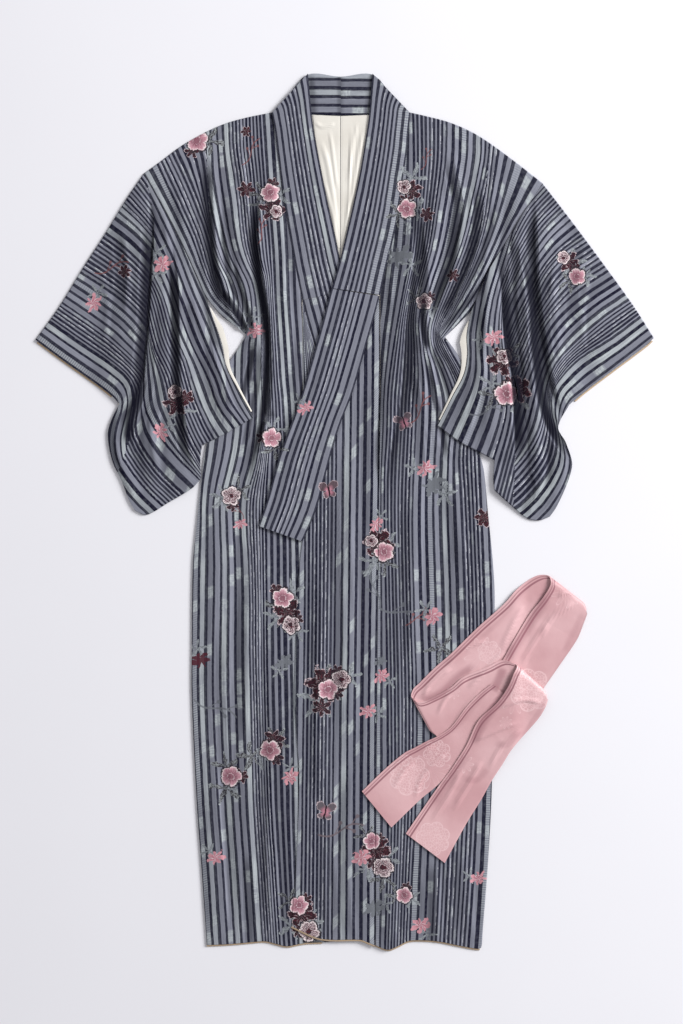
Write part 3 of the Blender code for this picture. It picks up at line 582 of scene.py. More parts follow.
def crepeGrid(name, outer, inner, stripe, paintedShade, tube=False):
    return meshGrid(
        name, outer, inner, [crepe, creamSatin], tube, stripe, stamps=motifs, innerLook=1, paintedShade=paintedShade,
    )


def countBands(u, chart):
    # bands counted across the cloth, the chart gives where each pitch begins
    starts = [row[0] for row in chart]
    counts = [0.0]
    for k in range(1, len(chart)):
        counts.append(counts[-1] + round((chart[k][0] - chart[k - 1][0]) / chart[k - 1][1]))
    extra = 100  # bands past the chart's last row
    ends = starts + [starts[-1] + extra * chart[-1][1]]
    counts.append(counts[-1] + extra)
    pitch = np.array([(ends[k + 1] - ends[k]) / (counts[k + 1] - counts[k]) for k in range(len(chart))])
    at = np.clip(np.searchsorted(starts, u, side="right") - 1, 0, len(chart) - 1)
    below = (u - starts[0]) / pitch[0]
    return np.where(u < starts[0], below, np.interp(u, ends, counts)), pitch[at]


usualPitch, sectionShift = 13.0, 37  # each section counts its bands from another number


def guided(sections, breaks=(), seed=0):
    # one set of guides and one chart per section, a face takes the section its centre lies in
    def read(places, loops, centres):
        part = np.zeros(len(centres), int)
        for line in breaks:
            part += beside(centres, line)
        uv, pitch = np.zeros((len(loops), 2)), np.full(len(loops), usualPitch)
        for number, (guides, chart) in enumerate(sections):
            values = guideField(places, guides)
            bands, steps = countBands(values[:, 0], chart)
            here = part == number
            own = np.stack([bands + seed + sectionShift * number, values[:, 1] * mm], axis=-1)
            uv = np.where(here[:, None], own[loops], uv)
            pitch = np.where(here, steps[loops], pitch)
        return uv, pitch
    return read


def alongBand(stations, chart, seed=0, width=84.0):
    # a strip's own stripes run along it
    def read(places, loops, centres):
        first, last = spline([r[0] for r in stations], 3), spline([r[1] for r in stations], 3)
        a, _, run = nearLine(places, first[0], first[1])
        b, _, _ = nearLine(places, last[0], last[1])
        across = width * b / (a + b)
        bands, steps = countBands(across, chart)
        long = run * np.linalg.norm(np.diff(first[0], axis=0), axis=1).sum()
        return np.stack([bands + seed, long * mm], axis=-1)[loops], steps[loops]
    return read


# the looks
# the crepe's colours; hollowShade and deep give the strength and colour of the shade painted into hollows
# and valleys
crepeFacts = {
    "slate": (0.212, 0.219, 0.264), "navy": (0.006, 0.006, 0.020), "pale": (0.47, 0.51, 0.52),
    "thread": (0.62, 0.63, 0.68), "hollowShade": 0.95,
    "lineHalf": 1.02, "linePerPitch": 0.125, "lineSoft": 0.5, "lineSpread": 0.55,
    "paleShare": 0.20, "ladderShare": 0.78, "ladderPitch": 0.0042, "slubLength": 0.026, "slubShare": 0.86,
    "roughness": 0.62, "sheen": 0.03, "shine": 0.03,
    "pink": (0.49, 0.21, 0.27), "palePink": (0.78, 0.63, 0.66), "rim": (0.86, 0.76, 0.76),
    "maroon": (0.085, 0.020, 0.030), "brown": (0.030, 0.024, 0.030), "black": (0.03, 0.015, 0.02),
    "heart": (0.115, 0.030, 0.052), "split": (0.26, 0.09, 0.13), "starHeart": (0.40, 0.15, 0.19),
    "starTip": (0.62, 0.30, 0.34), "grey": (0.155, 0.165, 0.185), "deep": (0.006, 0.006, 0.013),
    "twig": (0.19, 0.075, 0.075),
}
# the satin's colours; deep is the dark of the double line and also the colour of the shade painted into the
# sash's folds, hollowShade its strength
satinFacts = {
    "pink": (0.55, 0.305, 0.322), "deep": (0.26, 0.10, 0.125), "light": (0.68, 0.425, 0.44),
    "lace": (0.80, 0.575, 0.585), "laceCells": 210.0, "hollowShade": 0.62, "roughness": 0.38, "sheen": 0.1,
    "seamLine": 0.105, "fineLine": 0.05,
}
liningFacts = {
    "colour": (0.735, 0.705, 0.645), "cloud": (0.56, 0.52, 0.45), "cloudScale": 14.0, "roughness": 0.42,
}
tanFacts = {"colour": (0.50, 0.37, 0.24), "cloud": (0.36, 0.25, 0.15), "cloudScale": 60.0, "roughness": 0.5}


class Wire:
    # a value on its way through a material, so that its sums read as plain arithmetic
    def __init__(self, look, socket):
        self.look, self.socket = look, socket

    def step(self, operation, *others):
        return self.look.math(operation, self, *others)

    def __add__(self, other):
        return self.step("ADD", other)

    def __mul__(self, other):
        return self.step("MULTIPLY", other)

    def __sub__(self, other):
        return self.step("SUBTRACT", other)

    def __rsub__(self, other):
        return self.look.math("SUBTRACT", other, self)

    def __truediv__(self, other):
        return self.step("DIVIDE", other)

    def __pow__(self, other):
        return self.step("POWER", other)

    def __abs__(self):
        return self.step("ABSOLUTE")

    __radd__, __rmul__ = __add__, __mul__

    def most(self, other):
        return self.step("MAXIMUM", other)

    def ramp(self, low, high, start=0.0, end=1.0):
        given = (self, low, high, start, end)
        return Wire(self.look, self.look.node("MapRange", given, interpolation_type="SMOOTHSTEP"))


class Looks:
    # a short hand for wiring one material
    def __init__(self, name, facts, shine=0.35):
        self.made = bpy.data.materials.new(name)
        self.made.use_nodes = True
        self.shader = self.made.node_tree.nodes["Principled BSDF"]
        self.shader.inputs["Roughness"].default_value = facts["roughness"]
        self.shader.inputs["Sheen Weight"].default_value = facts.get("sheen", 0.1)
        self.shader.inputs["Specular IOR Level"].default_value = facts.get("shine", shine)

    def put(self, socket, value):
        if isinstance(value, Wire):
            self.made.node_tree.links.new(value.socket, socket)
        elif isinstance(value, tuple) and socket.type == "RGBA":
            socket.default_value = (*value, 1)
        else:
            socket.default_value = value

    def node(self, kind, given, out=0, **settings):
        # given: what goes into the node, by place or by name
        node = self.made.node_tree.nodes.new("ShaderNode" + kind)
        for key, value in settings.items():
            setattr(node, key, value)
        for key, value in given.items() if isinstance(given, dict) else enumerate(given):
            self.put(node.inputs[key], value)
        return node.outputs[out]

    def math(self, operation, *values):
        return Wire(self, self.node("Math", values, operation=operation))

    def mix(self, share, first, second):
        return Wire(self, self.node("Mix", {0: share, 6: first, 7: second}, 2, data_type="RGBA"))

    def vectorMath(self, operation, given):
        return Wire(self, self.node("VectorMath", given, operation=operation))

    def attribute(self, name, out="Fac"):
        return Wire(self, self.node("Attribute", (), out, attribute_name=name))

    def stripes(self):
        return self.parts(Wire(self, self.node("UVMap", (), uv_map="stripes")))

    def objectPlace(self):
        return Wire(self, self.node("TexCoord", (), "Object"))

    def noise(self, vector, scale, detail=2.0, roughness=0.5):
        given = {"Vector": vector, "Scale": scale, "Detail": detail, "Roughness": roughness}
        return Wire(self, self.node("TexNoise", given, "Fac"))

    def chance(self, x, y):
        given = {"Vector": self.vector(x, y, 0.0)}
        return Wire(self, self.node("TexWhiteNoise", given, "Value", noise_dimensions="2D"))

    def vector(self, x, y, z):
        return Wire(self, self.node("CombineXYZ", (x, y, z)))

    def parts(self, vector):
        node = self.node("SeparateXYZ", (vector,)).node
        return [Wire(self, socket) for socket in node.outputs]

    def finish(self, colour, height, distance, strength=0.5):
        bump = self.node("Bump", {"Distance": distance, "Strength": strength, "Height": height})
        self.put(self.shader.inputs["Normal"], Wire(self, bump))
        self.put(self.shader.inputs["Base Color"], colour)
        return self.made

    def shaded(self, colour, facts):
        # painted shade: the colour is darkened towards a dark shade colour where the cloth lies in a hollow
        # or valley
        return self.mix(self.attribute("paintedShade") * facts["hollowShade"], colour, facts["deep"])

    def polar(self, kind, sway=(0.0, 0.0), reach=0.0):
        x, y, tone = self.parts(self.attribute(kind, "Vector"))
        if reach:
            x, y = sway[0] * reach + x, sway[1] * reach + y
        return x, y, tone, self.math("SQRT", x * x + y * y), self.math("ARCTAN2", y, x)

    def wave(self, operation, angle):
        return abs(self.math(operation, angle))

    def lobes(self, angle, count, inner, outer, power, turn=0.0):
        return self.wave("COSINE", angle * (count / 2) + turn) ** power * (outer - inner) + inner


def crepeLook(name, facts):
    look = Looks(name, facts)
    place3 = look.objectPlace()
    bands, along, _ = look.stripes()
    pitch = look.attribute("pitch")

    # dark lines, one at each whole band, a little uneven in width and depth
    bands = (look.noise(place3, 55.0) - 0.5) * 0.10 + bands
    within, index, nearest = (look.math(operation, bands) for operation in ("FRACT", "FLOOR", "ROUND"))
    edge = look.math("MINIMUM", within, 1.0 - within) * pitch
    spread, soft = facts["lineSpread"], facts["lineSoft"]
    half = pitch * facts["linePerPitch"] + facts["lineHalf"]
    half = half * (look.chance(nearest, 5.1) * spread + (1.0 - 0.45 * spread))
    beside = edge - half
    line = beside.ramp(-soft, soft, 1.0, 0.0)
    faded = look.noise(place3, 160.0, 3.0).ramp(0.35, 0.75, 1.0, 0.88)
    faded = faded * (look.chance(nearest, 9.1) * 0.11 + 0.89)

    # bands between them: some pale, some with rungs, short slubs on others
    wide = pitch.ramp(8.6, 10.5)
    chance, second = look.chance(index, 3.7), look.chance(index, 11.3)
    streak = look.noise(look.vector(bands * 9.0, along * 14.0, 0.0), 1.0, 4.0, 0.65)
    patches = look.noise(look.vector(index, along * 9.0, 1.0), 1.0, 1.0).ramp(0.42, 0.62)
    paleBand = chance.ramp(facts["paleShare"], facts["paleShare"] + 0.01, 1.0, 0.0) * wide
    paleBand = paleBand * (patches * 0.6 + 0.4)
    ladder = chance.ramp(facts["ladderShare"], facts["ladderShare"] + 0.01) * wide
    rungs = abs(look.math("FRACT", along / facts["ladderPitch"]) - 0.5).ramp(0.18, 0.34)
    rungs = ladder * rungs * (patches * 0.55 + 0.25)
    run = second * 7.0 + along / facts["slubLength"]
    ends = abs(look.math("FRACT", run) - 0.5).ramp(0.30, 0.5, 1.0, 0.0)
    hatch = look.noise(look.vector(bands * 2.0, along * 420.0, 3.0), 1.0).ramp(0.3, 0.6, 0.35, 1.0)
    slub = look.chance(index, look.math("FLOOR", run)).ramp(facts["slubShare"], facts["slubShare"] + 0.01)
    slub = slub * (ends * hatch) * (wide * 0.6 + 0.4)
    tone = (streak * 0.9 + 0.55) * (second * 0.34 + 0.83)
    colour = look.vectorMath("SCALE", {0: facts["slate"], "Scale": tone})
    paleShare = (rungs * 0.7).most(slub * streak.ramp(0.3, 0.6, 0.3, 0.95))
    paleShare = (paleBand * streak.ramp(0.3, 0.7, 0.35, 0.95)).most(paleShare)
    colour = look.mix(paleShare, colour, facts["pale"])
    colour = look.mix(line * faded, colour, facts["navy"])

    # a broken pale thread on one side of about half of the close lines
    hair = beside.ramp(-0.2, 0.3) * beside.ramp(0.6, 1.3, 1.0, 0.0)
    dash = look.noise(look.vector(nearest * 3.3, along * 45.0, 5.0), 1.0, 3.0, 0.7).ramp(0.50, 0.56)
    threaded = look.chance(nearest, 7.9).ramp(0.55, 0.56) * within.ramp(0.45, 0.55)
    colour = look.mix(dash * hair * (1.0 - wide * 0.85) * threaded * 0.8, colour, facts["thread"])

    colour = addMotifs(look, facts, colour, place3)
    weave = look.noise(place3, 1500.0) + look.noise(place3, 260.0, 3.0) * 1.3
    return look.finish(look.shaded(colour, facts), weave - line * 0.35, 0.00035, 0.7)


def addMotifs(look, facts, colour, place3):
    grain = look.noise(place3, 420.0, 3.0)
    rough = grain * 0.26 - 0.13
    turned = look.vectorMath("ADD", (place3, (3.1, 5.7, 1.9)))
    sway = [look.noise(place, 95.0) - 0.5 for place in (place3, turned)]
    mix, lobes = look.mix, look.lobes

    # thin twigs with side shoots and small buds
    x, y, tone, r, angle = look.polar("twig")
    bend = look.math("SINE", x * 3.1) * 0.16
    shoots = abs(y - bend).ramp(0.025, 0.05, 1.0, 0.0) * r.ramp(0.92, 1.0, 1.0, 0.0)
    for start, slope, reach in ((-0.3, 0.9, 0.32), (0.15, -0.8, 0.36), (0.45, 1.1, 0.3)):
        run = x - start
        inside = run.ramp(0.0, 0.02) * run.ramp(reach - 0.05, reach, 1.0, 0.0)
        shoots = shoots.most(abs(y - (run * slope + bend)).ramp(0.02, 0.045, 1.0, 0.0) * inside)
        budX, budY = start + reach, reach * slope + 0.16 * math.sin(3.1 * (start + reach))
        far = look.math("SQRT", (x - budX) * (x - budX) + (y - budY) * (y - budY))
        shoots = shoots.most(far.ramp(0.06, 0.1, 1.0, 0.0))
    colour = mix(shoots * 0.8, colour, mix(tone, facts["twig"], facts["grey"]))

    # sprays of long leaves
    x, y, tone, r, angle = look.polar("leaf", sway, 0.5)
    depth = lobes(angle, 5, 0.12, 1.08, 3.6, 0.6) + rough - r
    vein = look.wave("SINE", angle * 2.5 + 0.6).ramp(0.0, 0.16, 0.45, 0.0)
    leafColour = mix(tone.ramp(0.4, 0.6), facts["grey"], facts["brown"])
    rim = depth.ramp(0.05, 0.14, 0.75, 0.0) * grain.ramp(0.44, 0.56)
    for share in (grain.ramp(0.42, 0.6, 0.0, 0.35), vein, rim):
        leafColour = mix(share, leafColour, facts["pale"])
    colour = mix(depth.ramp(0.0, 0.06) * 0.92, colour, leafColour)

    # dark blossoms behind the pink ones
    x, y, tone, r, angle = look.polar("dark", sway, 0.6)
    depth = lobes(angle, 6, 0.45, 0.98, 0.9, 0.4) + rough - r
    rim = depth.ramp(0.05, 0.13, 0.9, 0.0) * grain.ramp(0.40, 0.52)
    spokes = look.wave("SINE", angle * 6.0).ramp(0.0, 0.25, 0.5, 0.0) * r.ramp(0.35, 0.6, 1.0, 0.0)
    darkColour = mix(grain.ramp(0.32, 0.54), facts["maroon"], mix(tone, facts["black"], facts["brown"]))
    darkColour = mix(spokes, mix(rim, darkColour, facts["palePink"]), facts["palePink"])
    colour = mix(depth.ramp(0.0, 0.05), colour, darkColour)

    # five petalled blossoms, dark in the middle, with uneven pale rims and a dark outline
    x, y, tone, r, angle = look.polar("bloom", sway, 0.5)
    reach = rough * 0.5 + lobes(angle, 5, 0.70, 1.0, 0.55)
    depth = look.math("COSINE", angle * 25.0) * 0.025 + reach - r
    colour = mix(depth.ramp(-0.2, -0.1) * grain.ramp(0.36, 0.5, 0.5, 1.0) * 0.9, colour, facts["brown"])
    rays = look.noise(look.vector(angle * 9.0, r * 2.0, 0.0), 1.0).ramp(0.3, 0.75, 0.0, 0.45)
    spokes = look.wave("SINE", angle * 7.5).ramp(0.2, 0.8, 1.0, 0.55)
    split = look.wave("COSINE", angle * 2.5).ramp(0.0, 0.16, 0.75, 0.0) * r.ramp(0.2, 0.5)
    speckles = look.noise(place3, 900.0, 1.0).ramp(0.5, 0.58) * r.ramp(0.2, 0.5)
    speckled = mix(speckles, mix(grain.ramp(0.4, 0.6), facts["maroon"], facts["brown"]), facts["palePink"])
    heart = r.ramp(0.18, 0.90, 1.0, 0.0) * spokes
    bloomColour = mix(rays, facts["pink"], facts["palePink"])
    bloomColour = mix(heart, bloomColour, mix(tone, facts["heart"], facts["maroon"]))
    bloomColour = mix(tone.ramp(0.5, 0.6), mix(split, bloomColour, facts["split"]), speckled)
    bloomColour = mix(depth.ramp(0.05, 0.20, 1.0, 0.0) * (sway[0] * 1.6 + 0.75), bloomColour, facts["rim"])
    stamens = abs(r - 0.3).ramp(0.0, 0.07, 0.7, 0.0) * grain.ramp(0.45, 0.55)
    colour = mix(depth.ramp(-0.02, 0.02), colour, mix(stamens, bloomColour, facts["palePink"]))

    # butterflies, four wings and a slim body
    x, y, tone, r, angle = look.polar("wing", sway, 0.35)
    size = y.ramp(-0.2, 0.2) * 0.3 + 0.7
    depth = lobes(angle, 4, 0.0, 1.0, 0.6, math.pi / 2) * size + rough - r
    wingColour = mix(r.ramp(0.12, 0.55), facts["pink"], mix(tone, facts["maroon"], facts["grey"]))
    wingColour = mix(depth.ramp(0.03, 0.12, 0.7, 0.0), wingColour, facts["palePink"])
    colour = mix(depth.ramp(0.0, 0.05), colour, wingColour)
    colour = mix(abs(x).ramp(0.04, 0.08, 1.0, 0.0) * r.ramp(0.5, 0.6, 1.0, 0.0), colour, facts["black"])

    # small maple-like stars, pink, grey or maroon
    x, y, tone, r, angle = look.polar("star", sway, 0.75)
    uneven = look.math("SINE", angle * 2.0 + 0.7) * 0.16 + 0.84
    depth = rough * 1.2 + lobes(angle, 7, 0.36, 1.0, 0.85) * uneven - r
    ribs = look.wave("SINE", angle * 3.5).ramp(0.75, 0.98, 0.0, 0.7)
    starColour = mix(r.ramp(0.1, 0.8), facts["starHeart"], facts["starTip"])
    starColour = mix(tone.ramp(0.3, 0.4), starColour, facts["grey"])
    starColour = mix(tone.ramp(0.8, 0.9), starColour, facts["maroon"])
    light = r.ramp(0.3, 0.85, 1.0, 0.0) * ribs * tone.ramp(0.2, 0.4, 1.0, 0.0)
    return mix(depth.ramp(0.0, 0.06) * 0.95, colour, mix(light, starColour, facts["palePink"]))


def satinLook(name, facts):
    # tone on tone blossoms woven into pink satin, with a double line along one edge
    look = Looks(name, facts)
    place3 = look.objectPlace()
    across = look.stripes()[0]
    colour = look.mix(look.noise(place3, 9.0, 3.0).ramp(0.3, 0.7), facts["pink"], facts["light"])
    given = {"Vector": place3, "Scale": facts["laceCells"]}
    cells = Wire(look, look.node("TexVoronoi", given, "Distance", feature="DISTANCE_TO_EDGE"))
    _, _, _, r, angle = look.polar("bloom")
    depth = look.lobes(angle, 7, 0.8, 1.0, 0.6) - r
    lace = cells.ramp(0.03, 0.11, 1.0, 0.0).most(abs(depth - 0.05).ramp(0.0, 0.05, 1.0, 0.0))
    woven = lace * depth.ramp(0.0, 0.03)
    for kind, shape, rim in (("leaf", (9, 0.15, 1.0, 1.2, 0.6), (0.05, 0.1, 0.8, 0.1)),
                             ("star", (8, 0.25, 1.0, 1.1), (0.08, 0.16, 0.9, 0.15))):
        _, _, _, r, angle = look.polar(kind)
        depth = look.lobes(angle, *shape) - r
        woven = woven.most(depth.ramp(0.0, 0.03) * depth.ramp(*rim))
    colour = look.mix(woven * 0.6, colour, facts["lace"])
    seamLine = abs(across - facts["seamLine"]).ramp(0.010, 0.026, 0.85, 0.0)
    fineLine = abs(across - facts["fineLine"]).ramp(0.006, 0.018, 0.6, 0.0)
    colour = look.mix(seamLine.most(fineLine), colour, facts["deep"])
    weave = look.noise(place3, 1400.0) + look.noise(place3, 90.0, 3.0) * 1.6
    return look.finish(look.shaded(colour, facts), weave, 0.0004)


def plainLook(name, facts):
    look = Looks(name, facts)
    place3 = look.objectPlace()
    tone = look.noise(place3, facts["cloudScale"], 4.0, 0.6).ramp(0.3, 0.75) * 0.35
    weave = look.noise(place3, 1800.0) + look.noise(place3, 70.0, 3.0) * 1.5
    return look.finish(look.mix(tone, facts["colour"], facts["cloud"]), weave, 0.0003)


crepe = crepeLook("striped crepe", crepeFacts)
creamSatin = plainLook("cream satin lining", liningFacts)
tanCloth = plainLook("tan facing cloth", tanFacts)
pinkSatin = satinLook("pink satin", satinFacts)
print("looks wired")

# stripes of the right front: guide lines from top to bottom, with their place across the cloth
rightBodyStripes = guided([
    ([
        (0, [(-361, 606), (-327, 546), (-291, 476), (-264, 417), (-249, 384), (-222, 352), (-177, 316)]),
        (24, [(-335, 620), (-302, 550), (-275, 492), (-251, 426), (-228, 384), (-194, 350), (-177, 321)]),
        (60, [(-303, 649), (-276, 591), (-248, 516), (-235, 467), (-222, 402), (-194, 368), (-176, 325)]),
        (85, [(-260, 676), (-248, 633), (-239, 489), (-228, 408), (-204, 375), (-175, 328)]),
    ], [(0, 12.5), (25, 7.0), (95, 13.0)]),
    ([
        (0, [(-296, 672), (-289, 633), (-267, 555), (-249, 489), (-235, 449), (-221, 417), (-213, 381),
            (-221, 336), (-239, 300), (-249, 237), (-255, 183), (-260, 111), (-266, 53), (-269, -21),
            (-273, -95), (-275, -240), (-275, -336), (-266, -525), (-258, -635), (-249, -780)]),
        (45, [(-260, 692), (-255, 651), (-255, 606), (-248, 555), (-231, 489), (-217, 449), (-199, 417),
            (-188, 381), (-190, 336), (-201, 300), (-204, 237), (-204, 183), (-210, 111), (-230, 21),
            (-230, -21), (-228, -95), (-230, -240), (-230, -336), (-221, -525), (-213, -635),
            (-204, -780)]),
        (105, [(-208, 703), (-206, 651), (-199, 606), (-192, 555), (-185, 489), (-174, 449), (-159, 417),
            (-152, 381), (-149, 345), (-149, 300), (-149, 237), (-147, 192), (-150, 138), (-159, 84),
            (-174, 30), (-176, -21), (-172, -95), (-170, -170), (-170, -240), (-168, -336), (-163, -525),
            (-156, -635), (-147, -777)]),
        (150, [(-170, 712), (-168, 651), (-163, 606), (-159, 555), (-154, 489), (-149, 449), (-141, 417),
            (-138, 363), (-137, 300), (-136, 237), (-134, 192), (-134, 138), (-138, 84), (-141, 21),
            (-141, -21), (-140, -170), (-138, -336), (-132, -525), (-125, -635), (-116, -777)]),
        (175, [(-149, 712), (-145, 651), (-138, 555), (-131, 471), (-127, 381), (-122, 300), (-118, 237),
            (-114, 192), (-111, 129), (-105, 53), (-102, -21), (-101, -95), (-100, -240), (-98, -336),
            (-96, -525), (-93, -635), (-86, -779)]),
        (260, [(-57, 712), (-51, 381), (-44, 300), (-26, 21), (-15, -170), (-14, -780)]),
    ], [(-1.6, 13.3), (105, 7.3), (178, 13.3), (400, 8.0)]),
], [[(-248, 669), (-248, 633), (-239, 489), (-228, 402), (-206, 368), (-206, 368), (-183, 327),
    (-183, 305), (-368, 300)]], seed=3)

leftBodyStripes = guided([
    ([
        (0, [(107, 715), (103, 631), (96, 516), (82, 386), (71, 300), (64, 201), (60, 57), (58, -159),
            (55, -420), (55, -780)]),
        (25, [(123, 715), (125, 631), (123, 543), (118, 462), (103, 381), (89, 300), (78, 219),
            (76, 147), (71, 57), (73, -95), (76, -240), (78, -420), (78, -609), (73, -780)]),
        (83, [(183, 699), (181, 631), (168, 543), (156, 471), (136, 399), (127, 345), (130, 300),
            (132, 237), (129, 201), (127, 147), (123, 57), (121, -21), (124, -170), (129, -336),
            (127, -525), (121, -645), (116, -780)]),
        (149, [(246, 683), (244, 631), (228, 555), (210, 480), (179, 399), (157, 336), (156, 300),
            (174, 255), (190, 201), (190, 147), (186, 93), (184, 21), (186, -51), (190, -170),
            (192, -336), (192, -525), (188, -780)]),
        (176, [(262, 683), (258, 631), (242, 555), (222, 480), (190, 399), (165, 336), (165, 300),
            (188, 255), (208, 201), (210, 147), (206, 93), (210, 21), (213, -51), (217, -170),
            (219, -336), (219, -525), (213, -780)]),
        (212, [(291, 665), (280, 589), (262, 510), (237, 435), (204, 372), (174, 327), (183, 300),
            (208, 255), (235, 201), (240, 111), (244, 21), (247, -51), (251, -170), (253, -336),
            (251, -525), (244, -780)]),
    ], [(-54, 13.1), (25, 7.2), (83, 13.2), (176, 7.2), (212, 13)]),
    ([
        (-75, [(262, 665), (255, 589), (244, 507), (222, 435), (193, 372), (168, 321)]),
        (-35, [(304, 629), (285, 561), (262, 489), (233, 426), (199, 363), (172, 319)]),
        (0, [(355, 589), (323, 539), (289, 483), (262, 426), (238, 386), (213, 352), (179, 313)]),
    ], [(-150, 7.2), (-62, 13.2)]),
    ([
        (25, [(76, -240), (78, -420), (78, -609), (73, -780)]),
        (83, [(124, -170), (129, -336), (127, -525), (121, -645), (116, -780)]),
        (123, [(165, -170), (168, -336), (166, -525), (163, -645), (157, -780)]),
        (190, [(237, -170), (240, -336), (237, -525), (231, -645), (222, -780)]),
        (203, [(251, -170), (255, -336), (251, -525), (246, -645), (237, -780)]),
    ], [(-54, 13.1), (25, 7.2), (83, 13.2), (122.6, 7.2), (190, 13.2)]),
], [
    [(262, 687), (255, 589), (244, 507), (222, 435), (193, 372), (170, 323), (184, 305), (388, 300)],
    *2 * [[(352, -181), (260, -258), (226, -289), (190, -318), (154, -329), (129, -325), (129, -336),
        (127, -525), (121, -645), (116, -789)]],
], seed=130)

overlapStripes = guided([([
    (-145, [(-82, 237), (-83, -159), (-86, -420), (-91, -780)]),
    (0, [(64, 386), (63, 201), (58, -159), (55, -420), (55, -780)]),
], [(-172, 13.0), (-133, 6.9), (-78, 13.1)])], seed=240)

sleeveChart = [(0, 13.0), (44, 6.6), (83, 13.0), (146, 7.6), (219, 13.0), (276, 9.0), (355, 13.0)]
innerChart = [(0, 13.0), (44, 6.6), (83, 13.0), (148, 7.4), (216, 13.2)]
rightSleeveStripes = guided([
    ([
        (0, [(-555, 308), (-505, 271), (-464, 242), (-422, 211), (-408, 195), (-420, 156), (-424, 125),
            (-418, 91), (-401, 55), (-388, 21), (-375, -1)]),
        (40, [(-534, 339), (-476, 298), (-422, 262), (-390, 233), (-383, 201), (-392, 147), (-395, 120),
            (-390, 89), (-368, 39), (-350, -1)]),
        (152, [(-471, 435), (-413, 397), (-372, 361), (-343, 323)]),
        (250, [(-411, 530), (-377, 503), (-347, 471), (-321, 438)]),
        (355, [(-361, 606), (-347, 586), (-332, 561)]),
    ], sleeveChart),
    ([
        (83, [(-363, 255), (-372, 186), (-375, 138), (-336, 75), (-294, 33)]),
        (108, [(-359, 300), (-363, 219), (-357, 177), (-318, 116), (-265, 62)]),
        (160, [(-357, 345), (-343, 291), (-321, 244), (-303, 179), (-282, 125), (-260, 84)]),
        (210, [(-351, 426), (-330, 384), (-311, 319), (-289, 269), (-275, 219), (-249, 157), (-233, 129)]),
        (250, [(-347, 496), (-318, 435), (-294, 368), (-269, 301), (-236, 237), (-222, 195), (-194, 157)]),
        (281, [(-347, 562), (-302, 467), (-276, 400), (-249, 336), (-223, 269), (-194, 199), (-174, 166)]),
        (302, [(-347, 597), (-305, 516), (-264, 417), (-248, 384), (-228, 336), (-210, 265), (-192, 224),
            (-163, 170)]),
    ], innerChart),
], [[(-361, 615), (-352, 579), (-345, 530), (-347, 467), (-356, 384), (-359, 301), (-364, 240),
    (-384, 179), (-388, 129), (-406, 75), (-422, 39)]], seed=350)

leftSleeveStripes = guided([
    ([
        (-312, [(228, 384), (228, 361), (220, 318), (221, 283), (215, 247), (195, 208), (168, 155)]),
        (-285, [(273, 449), (247, 361), (240, 301), (242, 251), (231, 204), (202, 136)]),
        (-255, [(289, 435), (273, 377), (265, 301), (269, 242), (265, 183), (240, 114)]),
        (-222, [(309, 449), (289, 361), (291, 292), (301, 226), (301, 165), (282, 87)]),
    ], [(-500, 13.2), (-240, 7.4)]),
    ([
        (-355, [(355, 589), (323, 552), (303, 516), (285, 474)]),
        (-300, [(381, 555), (348, 521), (325, 485), (305, 449), (289, 409)]),
        (-250, [(404, 526), (370, 494), (345, 460), (325, 426), (301, 384), (287, 348)]),
        (-200, [(429, 485), (391, 458), (361, 424), (341, 384), (319, 341), (300, 300)]),
        (-139, [(469, 420), (431, 395), (390, 361), (363, 327), (346, 287), (330, 244), (314, 201),
            (301, 157)]),
        (-80, [(505, 373), (465, 345), (415, 301), (381, 264), (366, 226), (361, 192), (352, 150),
            (332, 111), (303, 75), (273, 46)]),
        (-42, [(528, 345), (481, 310), (422, 273), (391, 242), (375, 217), (372, 183), (381, 145),
            (381, 102), (361, 60), (323, 15), (301, -1)]),
        (0, [(555, 311), (481, 253), (431, 215), (404, 193), (390, 156), (397, 129), (409, 89),
            (399, 48), (373, 3), (352, -19)]),
    ], [(-500, 13), (-355, 9.0), (-276, 13.0), (-219, 7.6), (-146, 13.0), (-83, 6.6), (-44, 13.0)]),
], [
    [(301, 489), (283, 399), (287, 345), (298, 280), (303, 229), (307, 165), (306, 85), (305, 57)],
], seed=460)

